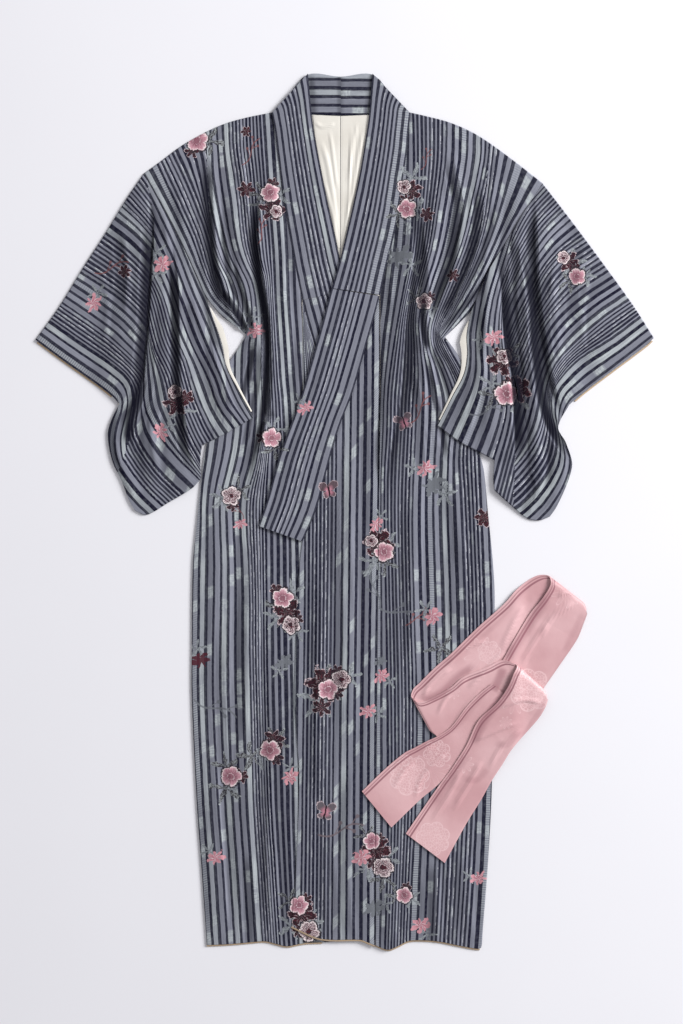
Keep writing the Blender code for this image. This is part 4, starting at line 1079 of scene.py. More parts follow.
# motifs, each placed by plan: kind, place, size, turn and tone
motifs = [
    ("bloom", (-266, 667), 24, 20, 0), ("dark", (-177, 683), 10, 10, 0), ("dark", (-177, 579), 15, 60, 0),
    ("twig", (-168, 647), 30, 55, 0), ("bloom", (-134, 573), 20, 100, 0),
    ("dark", (-131, 544), 24, 0, 0.4), ("bloom", (-123, 539), 14, 40, 1),
    ("leaf", (-150, 553), 22, 200, 0.5), ("twig", (-149, 503), 26, 70, 0),
    ("leaf", (121, 600), 26, 80, 0.1), ("dark", (120, 577), 20, 30, 0.2), ("bloom", (107, 584), 15, 0, 1),
    ("bloom", (112, 544), 20, 250, 0), ("dark", (148, 534), 13, 80, 0), ("twig", (147, 633), 22, 60, 0),
    ("star", (98, 458), 26, 0, 0.5), ("twig", (114, 498), 26, 75, 1), ("star", (-327, 444), 20, 15, 0),
    ("leaf", (-338, 467), 20, 120, 0.3), ("twig", (-419, 438), 34, 15, 0),
    ("dark", (-395, 431), 12, 20, 0), ("star", (-451, 375), 20, 40, 0),
    ("dark", (-303, 195), 24, 10, 0.3), ("bloom", (-305, 215), 15, 100, 1),
    ("dark", (-285, 204), 15, 50, 0), ("leaf", (-294, 181), 28, 300, 0.2),
    ("star", (-330, 143), 18, 80, 0), ("star", (-159, 325), 18, 0, 0),
    ("leaf", (-163, 348), 20, 100, 0.3), ("leaf", (409, 445), 28, 100, 0.2),
    ("dark", (402, 449), 20, 0, 0), ("bloom", (393, 456), 14, 0, 1), ("dark", (413, 438), 12, 50, 0.5),
    ("bloom", (418, 422), 18, 30, 0), ("leaf", (431, 427), 18, 330, 0.1), ("star", (267, 312), 20, 0, 0),
    ("dark", (282, 269), 28, 0, 0.2), ("bloom", (287, 278), 17, 60, 1),
    ("bloom", (291, 211), 25, 90, 0.3), ("leaf", (265, 228), 26, 160, 0), ("dark", (312, 219), 24, 50, 0),
    ("twig", (260, 183), 40, 10, 1), ("dark", (195, 424), 12, 70, 0), ("bloom", (143, 377), 17, 90, 0.6),
    ("bloom", (-131, 132), 20, 10, 0.4), ("star", (-71, 186), 16, 0, 0),
    ("wing", (107, 159), 22, 20, 0.5), ("twig", (136, 183), 34, 50, 0), ("star", (145, 78), 20, 10, 0),
    ("star", (161, 48), 26, 30, 0.5), ("bloom", (-204, 28), 20, 80, 1),
    ("leaf", (-217, 21), 24, 230, 0.1), ("twig", (-190, 3), 22, 110, 0), ("star", (-188, -23), 13, 0, 0),
    ("wing", (-28, 37), 22, 10, 0.4), ("star", (57, -23), 16, 30, 0), ("dark", (60, -57), 28, 0, 0.2),
    ("bloom", (71, -73), 21, 40, 0), ("leaf", (53, -91), 28, 250, 0), ("bloom", (48, -53), 14, 0, 1),
    ("twig", (55, -141), 44, 95, 1), ("dark", (251, -12), 18, 0, 0), ("bloom", (-111, -156), 22, 10, 0),
    ("dark", (-102, -181), 26, 0, 0.3), ("bloom", (-96, -204), 19, 50, 1),
    ("leaf", (-120, -192), 26, 240, 0.2), ("star", (159, -190), 20, 20, 0),
    ("twig", (125, -195), 34, 15, 0), ("leaf", (172, -246), 28, 60, 0.8),
    ("star", (64, -269), 13, 0, 0.5), ("star", (66, -296), 16, 10, 0), ("star", (-260, -267), 20, 0, 1),
    ("star", (-109, -271), 18, 0, 0.5), ("dark", (-37, -311), 34, 0, 0.2),
    ("bloom", (-30, -320), 22, 10, 0), ("bloom", (-6, -302), 20, 70, 1),
    ("leaf", (-48, -339), 36, 250, 0.3), ("dark", (-41, -352), 18, 30, 0.6),
    ("star", (42, -359), 18, 0, 0), ("bloom", (-134, -429), 22, 60, 0.2),
    ("dark", (-127, -411), 20, 20, 0.3), ("leaf", (-167, -440), 28, 190, 0.8),
    ("bloom", (-204, -476), 22, 0, 0.2), ("leaf", (-212, -496), 32, 260, 0.9),
    ("star", (-98, -478), 18, 30, 0), ("wing", (-35, -541), 24, 350, 0.6),
    ("twig", (-6, -573), 44, 10, 0.6), ("star", (-231, -622), 18, 0, 0), ("star", (30, -622), 20, 0, 0),
    ("dark", (57, -609), 28, 0, 0.2), ("bloom", (49, -593), 18, 30, 0), ("bloom", (69, -640), 22, 70, 1),
    ("leaf", (39, -638), 28, 230, 0.1), ("bloom", (107, -690), 17, 0, 0.3),
    ("star", (53, -714), 22, 0, 0.5), ("star", (240, -660), 16, 0, 0), ("star", (138, -744), 20, 0, 0),
    ("dark", (-77, -725), 28, 0, 0.2), ("bloom", (-82, -708), 20, 0, 0),
    ("bloom", (-64, -755), 22, 50, 1), ("leaf", (-95, -744), 26, 230, 0.3),
    ("twig", (-233, -354), 44, 335, 1), ("twig", (100, -181), 50, 340, 1),
]
motifShare = {"bloom": 0.86, "dark": 1.06}
motifs = [
    (kind, *spot, size * motifShare.get(kind, 1), turn, tone) for kind, spot, size, turn, tone in motifs
]
# leaves and small dark buds crowd round each blossom, one leaf by each star
crowd = {
    "bloom": [("leaf", 1.05, 0, 1.35, 1), ("leaf", 1.0, 150, 1.25, 0.1), ("dark", 0.95, 245, 0.75, 0.6)],
    "star": [("leaf", 1.0, 60, 0.9, 0.1)],
}
crowdFrom, goldenAngle = 14, 137.5
for k, (kind, x, y, size, turn, tone) in enumerate(motifs[:]):
    for extra, away, spread, share, shade in crowd.get(kind, []) if size >= crowdFrom else []:
        angle = math.radians(goldenAngle * k + spread)
        motifs.append((extra, x + away * size * math.cos(angle), y + away * size * math.sin(angle),
                       share * size, math.degrees(angle), shade))
print("stripes and motifs placed")


def dressed(piece, nodes):
    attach(piece, "root")
    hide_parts(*nodes)
    return piece


# how shade is painted into hollows and valleys, and how far the cloth swells and drops beside and in the
# valleys
shadeFacts = {
    "reach": 5, "fullDepth": 2.6, "hollowShare": 0.8, "swellReach": 18, "swell": 3.4, "drop": 4.6,
    "fadeIn": (0, 0.2), "fadeOut": (-0.04, 0.14), "width": 1.3, "roundness": 1.8, "strength": 1.1,
}


def hollowShade(relief, reach=shadeFacts["reach"]):
    # how far each place lies below the cloth around it, 0 to 1, which sets the shade painted into hollows
    around = relief
    for axis in (0, 1, 0, 1):
        padded = np.concatenate([np.repeat(np.take(around, [0], axis), reach, axis), around,
                                 np.repeat(np.take(around, [-1], axis), reach, axis)], axis)
        total = np.cumsum(np.concatenate([np.zeros_like(np.take(padded, [0], axis)), padded], axis), axis)
        count = relief.shape[axis]
        upper = np.take(total, range(2 * reach + 1, 2 * reach + 1 + count), axis)
        around = (upper - np.take(total, range(count), axis)) / (2 * reach + 1)
    return np.clip((around - relief) / shadeFacts["fullDepth"], 0, 1)


def valleyShade(plan, valleys):
    # how dark the shade painted into each sharp valley is, which also sets how far the valley drops, and
    # the soft swell of the cloth on both sides of it
    shade, swell = np.zeros(plan.shape[:-1]), np.zeros(plan.shape[:-1])
    width = shadeFacts["width"]
    for line, west, east, deep in valleys:
        dense, along, _ = spline(line, 4)
        best, side, share = nearLine(plan, dense, along)
        reach = np.where(side > 0, east, west)
        ends = smooth(share, *shadeFacts["fadeIn"]) * smooth(1 - share, *shadeFacts["fadeOut"])
        near = np.clip(width * (1 - best / (width * reach)), 0, 1)
        dark = (1 - (1 - near) ** shadeFacts["roundness"]) * ends
        shade = np.maximum(shade, dark * min(1, shadeFacts["strength"] * deep))
        around = np.cos(0.5 * math.pi * np.clip(best / (reach + shadeFacts["swellReach"]), 0, 1)) ** 2
        swell = np.maximum(swell, around * ends * deep)
    return shade, swell


def valleyed(plan, relief, valleys):
    # the relief with its valleys cut in, and the shade painted into them and into every hollow
    shade, swell = valleyShade(plan, valleys)
    relief = np.maximum(relief + shadeFacts["swell"] * swell - shadeFacts["drop"] * shade, 0)
    return relief, np.clip(np.maximum(shadeFacts["hollowShare"] * hollowShade(relief), shade), 0, 1)


def seamDip(plan, depth, reach):
    # the cloth drops a little into the seams along its first and last columns
    first = np.linalg.norm(plan - plan[:1], axis=-1)
    final = np.linalg.norm(plan - plan[-1:], axis=-1)
    return depth * (np.exp(-(first / reach) ** 2) + np.exp(-(final / reach) ** 2))


bodyFacts = {
    "columns": 62, "rows": 340, "backRows": 60, "length": 1600, "inset": 0.15, "backInset": 2.2,
    "dip": 0.7, "dipReach": 3.0,
}


def bodyPiece(name, edges, frontEdge, folds, valleys, baseOf, coverOf, stripe):
    shoulder, side, hem = (spline(edges[key]) for key in ("shoulder", "side", "hem"))
    edge, backTop = spline(frontEdge), spline(edges["backTop"])
    centre, backHem = spline(edges["centre"]), spline(edges["backHem"])
    s = stepsAlong(bodyFacts["columns"], shoulder, hem)
    t = stepsAlong(bodyFacts["rows"], side, edge)
    front = apart(patch(shoulder, hem, side, edge, s, t), bodyFacts["inset"], bodyFacts["inset"])
    tBack = stepsAlong(bodyFacts["backRows"], side)
    back = apart(patch(backTop, backHem, side, centre, s, tBack), first=bodyFacts["backInset"])
    relief, paintedShade = valleyed(front, foldHeight(front, folds), valleys)
    relief = relief * coverOf(front)
    roll = smooth(t * bodyFacts["length"], 0, cloth["rollReach"])[None, :]
    paintedShade = np.concatenate([paintedShade[:, ::-1], np.zeros((len(s), 1 + len(tBack)))], axis=1)
    base = underLift + (baseOf(front) - underLift + relief) * roll
    wall = cloth["wall"]
    turn = front[:, :1] + (outward(front, 0) * wall)[:, None]
    outer = np.concatenate([
        withHeight(front, base + wall - seamDip(front, bodyFacts["dip"], bodyFacts["dipReach"]))[:, ::-1],
        withHeight(turn, 0.5 * (wall + underLift)), withHeight(back, 0.0),
    ], axis=1)
    inner = np.concatenate([
        withHeight(front, base)[:, ::-1], withHeight(front[:, :1], 0.5 * (wall + underLift)),
        withHeight(back, wall),
    ], axis=1)
    return crepeGrid(name, outer, inner, stripe, paintedShade)


rightCreases = [
    ([(-188, 651), (-176, 552), (-161, 471)], 7, 7, 2.2),
    ([(-233, 606), (-217, 507), (-195, 408), (-176, 348)], 6, 6, 2.4),
    ([(-116, 579), (-109, 471), (-111, 363)], 8, 8, 1.6),
    ([(-170, 280), (-177, 215), (-195, 147)], 7, 8, 2.0),
    ([(-203, -15), (-208, -159), (-204, -321)], 9, 9, 1.2),
    ([(-149, -87), (-156, -231), (-149, -393)], 8, 8, 1.4),
    ([(-239, -411), (-224, -573), (-213, -753)], 9, 9, 1.5),
    ([(-131, -447), (-138, -609), (-131, -753)], 8, 8, 1.4),
]
leftCreases = [
    ([(201, 651), (193, 552), (174, 471)], 7, 7, 2.2),
    ([(276, 606), (251, 507), (211, 408), (184, 348)], 6, 6, 2.6),
    ([(233, 579), (219, 489), (186, 399)], 6, 6, 2.0),
    ([(85, 561), (85, 471), (82, 363)], 8, 8, 1.4),
    ([(181, 287), (211, 215), (229, 147)], 6, 7, 2.4),
    ([(150, 300), (165, 215), (186, 129)], 6, 7, 2.2),
    ([(143, 291), (143, 201), (154, 111)], 6, 7, 1.6),
    ([(208, -15), (215, -141), (213, -249)], 9, 9, 1.2),
    ([(107, -51), (103, -159), (96, -249)], 8, 8, 1.2),
    ([(190, -519), (186, -645), (190, -762)], 9, 9, 1.4),
]
# valleys: line from top to bottom, reach to each side, and how dark the shade painted along it is, which
# also sets how far the cloth swells and drops there
rightValleys = [
    ([(-255, 651), (-246, 604), (-246, 561), (-242, 507), (-239, 463), (-231, 417), (-222, 386),
        (-199, 363)], 12, 7, 0.85),
    ([(-165, 586), (-159, 543), (-161, 492), (-156, 449), (-152, 413), (-145, 377), (-140, 341),
        (-138, 291)], 12, 5, 0.9),
    ([(-149, 399), (-141, 354), (-138, 309), (-140, 255), (-145, 183), (-156, 111)], 7, 4, 0.95),
    ([(-231, 402), (-206, 375), (-186, 341), (-176, 319)], 7, 6, 0.9),
    ([(-203, 449), (-188, 399), (-172, 348), (-167, 319)], 6, 5, 0.7),
    ([(-167, 312), (-170, 269), (-183, 210), (-195, 156)], 5, 6, 0.75),
    ([(-159, 309), (-156, 246), (-167, 183), (-183, 111)], 5, 5, 0.6),
    ([(-181, -60), (-186, -231), (-188, -411)], 10, 8, 0.3),
    ([(-221, -177), (-224, -339), (-213, -519), (-201, -699)], 10, 8, 0.32),
    ([(-114, -339), (-116, -501), (-107, -663), (-109, -779)], 10, 8, 0.35),
    ([(-177, -609), (-174, -699), (-170, -789)], 9, 8, 0.45),
]
leftValleys = [
    ([(183, 647), (195, 589), (202, 553), (197, 514), (192, 471), (184, 435), (168, 395),
        (154, 359)], 9, 9, 0.8),
    ([(231, 600), (240, 550), (235, 507), (226, 463), (211, 424), (190, 381), (170, 341)], 8, 8, 0.8),
    ([(127, 579), (129, 507), (136, 449), (139, 399), (139, 348)], 8, 10, 0.6),
    ([(143, 388), (139, 355), (141, 323), (148, 287)], 5, 7, 1.0),
    ([(269, 568), (262, 510), (240, 449), (210, 393), (183, 341)], 7, 7, 0.6),
    ([(289, 483), (265, 435), (231, 388), (193, 348), (175, 323)], 6, 6, 0.7),
    ([(154, 300), (175, 251), (193, 192), (204, 129)], 5, 7, 0.75),
    ([(143, 291), (154, 228), (172, 165), (183, 93)], 5, 6, 0.7),
    ([(165, 301), (193, 258), (213, 210), (226, 156)], 5, 5, 0.6),
    ([(121, 251), (132, 165), (136, 57)], 7, 7, 0.4),
    ([(103, 21), (107, -123), (109, -267)], 9, 8, 0.3),
    ([(186, 57), (193, -87), (195, -231)], 9, 8, 0.35),
    ([(154, -627), (157, -708), (154, -789)], 9, 8, 0.45),
]
bodies = {
    "Right": (
        rightBody, rightFrontEdge, rightFolds + rightCreases, rightValleys, underBase, rightCover,
        rightBodyStripes,
    ),
    "Left": (
        leftBody, leftFrontEdge, leftFolds + leftCreases, leftValleys, overBase, leftCover,
        leftBodyStripes,
    ),
}
for side, given in bodies.items():
    piece = bodyPiece(f"body{side}Cloth", *given)
    dressed(piece, [f"body_{side.lower()}"])
print("body lengths laid")

overlapFacts = {
    "columns": 44, "rows": 260, "seamInset": 0.15, "edgeInset": 0.3, "dip": 0.6, "dipReach": 3.0,
    "creases": [
        ([(-48, -87), (-41, -231), (-51, -393)], 9, 9, 1.3),
        ([(13, 129), (10, -51), (21, -195)], 9, 9, 1.2),
        ([(39, -339), (35, -501), (39, -663)], 8, 8, 1.3),
        ([(-26, -519), (-33, -645), (-30, -753)], 9, 9, 1.5),
    ],
    # valleys, with shade painted along each
    "valleys": [
        ([(-19, 75), (-19, -87), (-12, -231), (-19, -375)], 10, 8, 0.35),
        ([(-59, -159), (-62, -339), (-59, -519)], 9, 8, 0.3),
        ([(3, -447), (-3, -609), (3, -771)], 9, 9, 0.4),
        ([(39, 237), (35, 111), (39, -51)], 8, 8, 0.3),
    ],
}


def overlapPiece(facts):
    seam, edge, hem = spline(overlapSeam), spline(overlapEdge), spline(overlapHem)
    s, t = stepsAlong(facts["columns"], hem), stepsAlong(facts["rows"], edge)[1:]
    plan = apart(patch(None, hem, seam, edge, s, t), facts["seamInset"], facts["edgeInset"])
    lift, paintedShade = valleyed(plan, foldHeight(plan, overlapFolds + facts["creases"]), facts["valleys"])
    base = overBase(plan) + lift * clearOfSash(plan)
    outer = withHeight(plan, base + cloth["wall"] - seamDip(plan, facts["dip"], facts["dipReach"]))
    return crepeGrid("overlapLeftCloth", outer, withHeight(plan, base), overlapStripes, paintedShade)


dressed(
    overlapPiece(overlapFacts), ["overlap_left"],
)


def bandGrid(stations, rows, columns, rise, thick, crown=0.0, steps=6):
    # a strip between two edges, rise and thick are read from its start to its end
    first, last = (spline([row[k] for row in stations], steps) for k in (0, 1))
    count = len(stations) - 1
    t, s = np.linspace(0, 1, rows + 1), np.linspace(0, 1, columns + 1)
    pace = np.linspace(0, 1, count + 1)
    ends = [place(line, np.interp(t, pace, line[1][::steps][:count + 1])) for line in (first, last)]
    plan = ends[0][None] * (1 - s)[:, None, None] + ends[1][None] * s[:, None, None]
    rise = np.interp(t, np.linspace(0, 1, len(rise)), rise)[None, :]
    thick = np.interp(t, np.linspace(0, 1, len(thick)), thick)[None, :]
    full = crown * np.sin(math.pi * s)[:, None] * smooth(thick, cloth["wall"], cloth["wall"] + 0.5)
    return plan, rise + np.zeros_like(full), rise + thick + full


bandFacts = {"dip": 0.8, "dipReach": 2.2, "chart": [(0, 13.6), (27, 8.4), (61, 11.2)]}


def bandPiece(name, node, stations, stripe, flat, rests, shades=(), **form):
    plan, low, high = bandGrid(stations, **form)
    high = high - seamDip(plan, bandFacts["dip"], bandFacts["dipReach"])
    piece = meshGrid(
        name, withHeight(plan, high), withHeight(plan, low), [crepe], stripe=stripe, stamps=motifs,
        paintedShade=valleyShade(plan, shades)[0],
    )
    return dressed(piece, [node])


wall, bandWall = cloth["wall"], cloth["band"]
bandPiece(
    "overCollarRight", "over_collar_right", underCollarTop[:-1] + [((8.8, 397.4), (-76.2, 380.4))],
    alongBand(underCollarTop, bandFacts["chart"], seed=560), (0.08, 0.42), ["bodyRightCloth"],
    rows=90, columns=20, rise=[3.5, 3.5, 2.6, 2.0, 2.0, 2.0, 2.0],
    thick=[bandWall, bandWall, bandWall, bandWall, 2.4, wall, wall], crown=0.5,
)
bandPiece(
    "overCollarLeft", "over_collar_left", overCollarTop,
    alongBand(overCollarTop, bandFacts["chart"], seed=600), (0.08, 0.42), ["bodyLeftCloth"],
    rows=90, columns=20, rise=[3.5, 4.2, cloth["bandLift"]], thick=[bandWall], crown=0.5,
)
bandPiece(
    "collarLeft", "collar_left", overCollarLow,
    alongBand(overCollarLow, bandFacts["chart"], seed=640), (0.085, 0.47), ["overlapLeftCloth"],
    rows=100, columns=20, rise=[cloth["bandLift"]], thick=[bandWall], crown=0.5,
)
bandPiece(
    "collarRight", "collar_right", underCollarLow,
    alongBand(underCollarLow, bandFacts["chart"], seed=560), (0.085, 0.47), ["bodyRightCloth"],
    rows=60, columns=12, rise=[underLift], thick=[wall],
)
underOverlapShown = [((-75.6, 378), (-75.1, 378))] + [
    ((a[0] - 0.5, a[1]), (b[0] + 2.6, b[1])) for a, b in underOverlap[:8]
] + underOverlap[8:]
bandPiece(
    "overlapRightCloth", "overlap_right", underOverlapShown,
    alongBand(underOverlap, [(0, 13.0)], seed=720), (0.15, 1.13), ["bodyRightCloth"],
    rows=90, columns=16, rise=[underLift], thick=[wall],
)

neckFacts = {
    "stripesFrom": 713, "pitch": 15.6, "seed": 764, "backSeam": -7, "sideShift": (0.1, 0.3),
    "dip": 0.35, "dipReach": 2.0,
}


def neckStripes(places, loops, centres):
    # the band behind the neck is striped from side to side
    up = places[:, 1] - neckFacts["stripesFrom"]
    bands, steps = countBands(up, [(2, neckFacts["pitch"])])
    uv = np.stack([bands + neckFacts["seed"], places[:, 0] * mm], axis=-1)[loops]
    uv[centres[:, 0] > neckFacts["backSeam"]] += neckFacts["sideShift"]
    return uv, steps[loops]


bandPiece(
    "overCollarNeck", "over_collar_neck", neckBand, neckStripes, (0.07, 0.25), ["floor"],
    rows=80, columns=22, rise=[0.0], thick=[bandWall], crown=0.3,
    # lines of shade painted on the band: along the back seam and one towards each end
    shades=[
        ([(-8, 798), (-8, 759), (-8, 705)], 5, 5, 0.4),
        ([(-64, 791), (-60, 750), (-57, 705)], 6, 8, 0.5),
        ([(51, 791), (48, 750), (42, 705)], 8, 6, 0.5),
    ],
)
print("collar bands folded over")

# neck lining: its stations, the area that shows and its wrinkles
neckLinings = {
    "right": (neckLiningRight, 0.0085, [
        ([(-55, 701), (-41, 692), (-17, 697)], 6, 6, 1.1),
        ([(-46, 676), (-32, 633), (-21, 570), (-14, 498)], 8, 7, 1.5),
        ([(-28, 690), (-21, 642), (-14, 579)], 5, 6, 1.1),
        ([(-37, 597), (-24, 543), (-14, 480)], 5, 6, 1.2),
    ]),
    "left": (neckLiningLeft, 0.0170, [
        ([(10, 697), (10, 624), (3, 516)], 4, 6, 1.2),
        ([(37, 699), (24, 633), (12, 552)], 7, 6, 1.5),
        ([(24, 705), (15, 660), (6, 588)], 5, 5, 1.1),
        ([(13, 579), (4, 525), (-5, 471)], 5, 5, 1.0),
    ]),
}
for side, (stations, shown, wrinkles) in neckLinings.items():
    plan, low, high = bandGrid(stations, rows=60, columns=18, rise=[underLift], thick=[cloth["lining"]])
    wrinkled = foldHeight(plan, wrinkles)
    outer = withHeight(plan, high + wrinkled - seamDip(plan, neckFacts["dip"], neckFacts["dipReach"]))
    inner = withHeight(plan, low + wrinkled)
    piece = meshGrid("neckLining" + side.capitalize(), outer, inner, [creamSatin])
    dressed(
        piece, ["neck_lining_" + side],
    )

sleeveFacts = {
    "columns": 96, "rows": 110, "inset": 0.15, "rim": 0.06, "rimRelief": 0.25, "dip": 0.6, "dipReach": 3.0,
}


def sleevePiece(name, edges, folds, valleys, baseOf, stripe):
    shoulder, cuff, bottom, seam = (spline(edges[key]) for key in ("shoulder", "cuff", "bottom", "seam"))
    s = stepsAlong(sleeveFacts["columns"], shoulder, bottom)
    t = stepsAlong(sleeveFacts["rows"], seam, cuff)
    front = apart(patch(shoulder, bottom, seam, cuff, s, t), first=sleeveFacts["inset"])
    rest = baseOf(front)
    back, below = front[:, ::-1][:, ::2], rest[:, ::-1][:, ::2]
    relief, shade = valleyed(front, foldHeight(front, folds), valleys)
    rim = smooth(t, 0, sleeveFacts["rim"]) * smooth(1 - t, 0, sleeveFacts["rim"])
    paintedShade = np.concatenate([shade, np.zeros((len(s), 2 + back.shape[1]))], axis=1)
    kept = sleeveFacts["rimRelief"]
    upper = rest + cloth["sleeveLift"] + relief * (kept + (1 - kept) * rim[None, :])
    thick = cloth["sleeveWall"]
    topTurn = front[:, :1] + (outward(front, 0) * thick)[:, None]
    lowTurn = front[:, -1:] + (outward(front, -1) * thick)[:, None]
    between = 0.5 * (thick + cloth["sleeveLift"])
    fromSeam = np.linalg.norm(front - front[:1], axis=-1)
    dip = sleeveFacts["dip"] * np.exp(-(fromSeam / sleeveFacts["dipReach"]) ** 2)
    outer = np.concatenate([
        withHeight(front, upper + thick - dip), withHeight(lowTurn, between + rest[:, -1:]),
        withHeight(back, below), withHeight(topTurn, between + rest[:, :1]),
    ], axis=1)
    inner = np.concatenate([
        withHeight(front, upper), withHeight(front[:, -1:], between + rest[:, -1:]),
        withHeight(back, below + thick), withHeight(front[:, :1], between + rest[:, :1]),
    ], axis=1)
    return crepeGrid(name, outer, inner, stripe, paintedShade, tube=True)


sideTop = 275
sideRight, sideLeft = ([row for row in body["side"] if row[1] < sideTop] for body in (rightBody, leftBody))


def rightLift(plan):
    return overBody(plan, sideRight, 1)


def leftLift(plan):
    return overBody(plan, sideLeft, -1)


rightSleeveCreases = [
    ([(-404, 516), (-390, 435), (-393, 345)], 10, 10, 1.8),
    ([(-440, 449), (-426, 381), (-429, 300)], 9, 9, 1.4),
    ([(-327, 534), (-311, 449), (-293, 363)], 8, 9, 1.8),
    ([(-278, 399), (-255, 318), (-235, 246)], 8, 8, 1.6),
    ([(-350, 201), (-347, 129), (-332, 57)], 8, 8, 1.8),
    ([(-213, 219), (-203, 192), (-188, 168)], 6, 6, 1.2),
]
leftSleeveCreases = [
    ([(388, 498), (375, 417), (381, 327), (391, 255)], 10, 10, 2.2),
    ([(442, 435), (429, 363), (431, 291)], 9, 9, 1.6),
    ([(307, 507), (300, 449), (291, 399)], 7, 8, 1.8),
    ([(321, 327), (323, 246), (327, 147)], 7, 7, 2.0),
    ([(256, 381), (251, 291), (256, 201)], 8, 8, 1.4),
    ([(361, 147), (361, 93), (346, 30)], 7, 7, 1.8),
]
# sleeve valleys, as on the body: shade is painted along each, and the cloth swells and drops there
rightSleeveValleys = [
    ([(-347, 552), (-347, 489), (-352, 399), (-355, 339), (-361, 278), (-365, 231), (-374, 195),
        (-388, 165), (-395, 120)], 15, 3, 0.9),
    ([(-365, 246), (-374, 201), (-384, 172), (-390, 143), (-390, 120)], 9, 9, 1.0),
    ([(-314, 489), (-302, 408), (-300, 339), (-301, 278), (-300, 231), (-293, 188), (-291, 143),
        (-284, 107), (-269, 71)], 11, 3, 0.8),
    ([(-410, 186), (-424, 147), (-424, 120), (-411, 75)], 3, 8, 0.55),
    ([(-278, 503), (-266, 426), (-248, 363), (-231, 291)], 7, 7, 0.45),
    ([(-255, 327), (-240, 273), (-221, 215), (-206, 179)], 7, 6, 0.45),
    ([(-408, 503), (-402, 435), (-408, 363)], 10, 10, 0.35),
    ([(-332, 381), (-329, 291), (-332, 219), (-350, 147)], 9, 8, 0.4),
]
leftSleeveValleys = [
    ([(278, 449), (283, 399), (286, 339), (292, 287), (301, 249), (305, 188), (308, 129),
        (307, 84)], 2.5, 21, 1.0),
    ([(319, 489), (328, 435), (337, 368), (339, 309), (346, 249), (352, 204), (366, 159), (382, 129),
        (402, 98)], 7, 14, 1.0),
    ([(381, 157), (390, 132), (399, 111), (408, 93)], 3, 4, 0.8),
    ([(301, 492), (305, 449), (300, 399), (296, 354)], 7, 8, 0.6),
    ([(361, 449), (357, 381), (359, 309), (368, 251)], 9, 9, 0.5),
    ([(420, 489), (408, 408), (411, 327)], 10, 10, 0.35),
    ([(244, 345), (238, 273), (233, 201), (213, 143)], 7, 7, 0.3),
    ([(323, 75), (334, 39), (321, -6)], 7, 8, 0.4),
]
sleeves = {
    "Right": (
        rightSleeve, rightSleeveFolds + rightSleeveCreases, rightSleeveValleys, rightLift,
        rightSleeveStripes,
    ),
    "Left": (
        leftSleeve, leftSleeveFolds + leftSleeveCreases, leftSleeveValleys, leftLift,
        leftSleeveStripes,
    ),
}
for side, given in sleeves.items():
    dressed(
        sleevePiece(f"sleeve{side}Cloth", *given), [f"sleeve_{side.lower()}"],
    )
print("sleeves laid")


facingForm = {"columns": 6, "fall": 0.45}


def facingPiece(name, line, span, widths, side, lift, height, rows, off, flat, on):
    # a thin strip that shows beside an edge, its name gives its node and its look
    t = np.linspace(0, 1, rows + 1)
    run = place(line, span[0] + t * (span[1] - span[0]))
    step = np.gradient(run, axis=0)
    step /= np.linalg.norm(step, axis=1, keepdims=True)
    away = np.stack([-step[:, 1], step[:, 0]], axis=1) * side
    width = np.interp(t, np.linspace(0, 1, len(widths)), widths)[:, None]
    shares = np.linspace(0, 1, facingForm["columns"])
    plan = np.stack([run + away * (off + share * width) for share in shares])
    rise = (1 - facingForm["fall"] * shares**2)[:, None] * height
    low = lift(plan) if callable(lift) else np.full(plan.shape[:-1], lift)
    look, slotName = (creamSatin, "cream_lining") if "Lining" in name else (tanCloth, "tan_facing")
    piece = meshGrid(name, withHeight(plan, low + rise), withHeight(plan, low), [look])
    node = "".join("_" + letter.lower() if letter.isupper() else letter for letter in name)
    shown = (np.mean(widths) + height) * flat[1] * mm
    return dressed(piece, [node])


rightSeam, rightCuff = spline(rightSleeve["seam"]), spline(rightSleeve["cuff"])
leftSeam, leftCuff = spline(leftSleeve["seam"]), spline(leftSleeve["cuff"])
openStrip = {"height": 2.0, "rows": 80, "off": 1.2}
cuffStrip = {"height": 2.0, "rows": 60, "off": 0.9, "lift": 0.0, "widths": [openEdge["facing"]]}
hemStrip = {"height": 2.4, "rows": 90, "off": 0.5, "lift": 0.0, "widths": [openEdge["facing"]]}
facingPiece(
    "openEdgeLiningRight", rightSeam, (rightSeam[2][0] + 0.04, 0.98), openEdge["right"], 1,
    lambda plan: rightLift(plan) + 0.4, flat=(0.012, 0.23), on="sleeveRightCloth", **openStrip,
)
facingPiece(
    "openEdgeLiningLeft", leftSeam, (leftSeam[2][0] + 0.04, 0.98), openEdge["left"], -1,
    lambda plan: leftLift(plan) + 0.4, flat=(0.012, 0.21), on="sleeveLeftCloth", **openStrip,
)
facingPiece(
    "cuffFacingRight", rightCuff, (0.01, rightCuff[2][0] - 0.05), side=-1, flat=(0.012, 0.2),
    on="sleeveRightCloth", **cuffStrip,
)
facingPiece(
    "cuffFacingLeft", leftCuff, (0.01, leftCuff[2][0] - 0.03), side=1, flat=(0.012, 0.19),
    on="sleeveLeftCloth", **cuffStrip,
)
facingPiece(
    "hemFacingRight", spline(rightBody["hem"] + [(-41, -775)]), (0, 1), side=-1, flat=(0.012, 0.21),
    on="bodyRightCloth", **hemStrip,
)
facingPiece(
    "hemFacingOverlap", spline(overlapHem), (0, 1), side=1, flat=(0.012, 0.155), on="overlapLeftCloth",
    **{**hemStrip, "rows": 70, "lift": overLift},
)
facingPiece(
    "hemFacingLeft", spline(leftBody["hem"]), (0.045, 1), side=1, flat=(0.012, 0.21), on="bodyLeftCloth",
    **hemStrip,
)
print("linings and facings set")

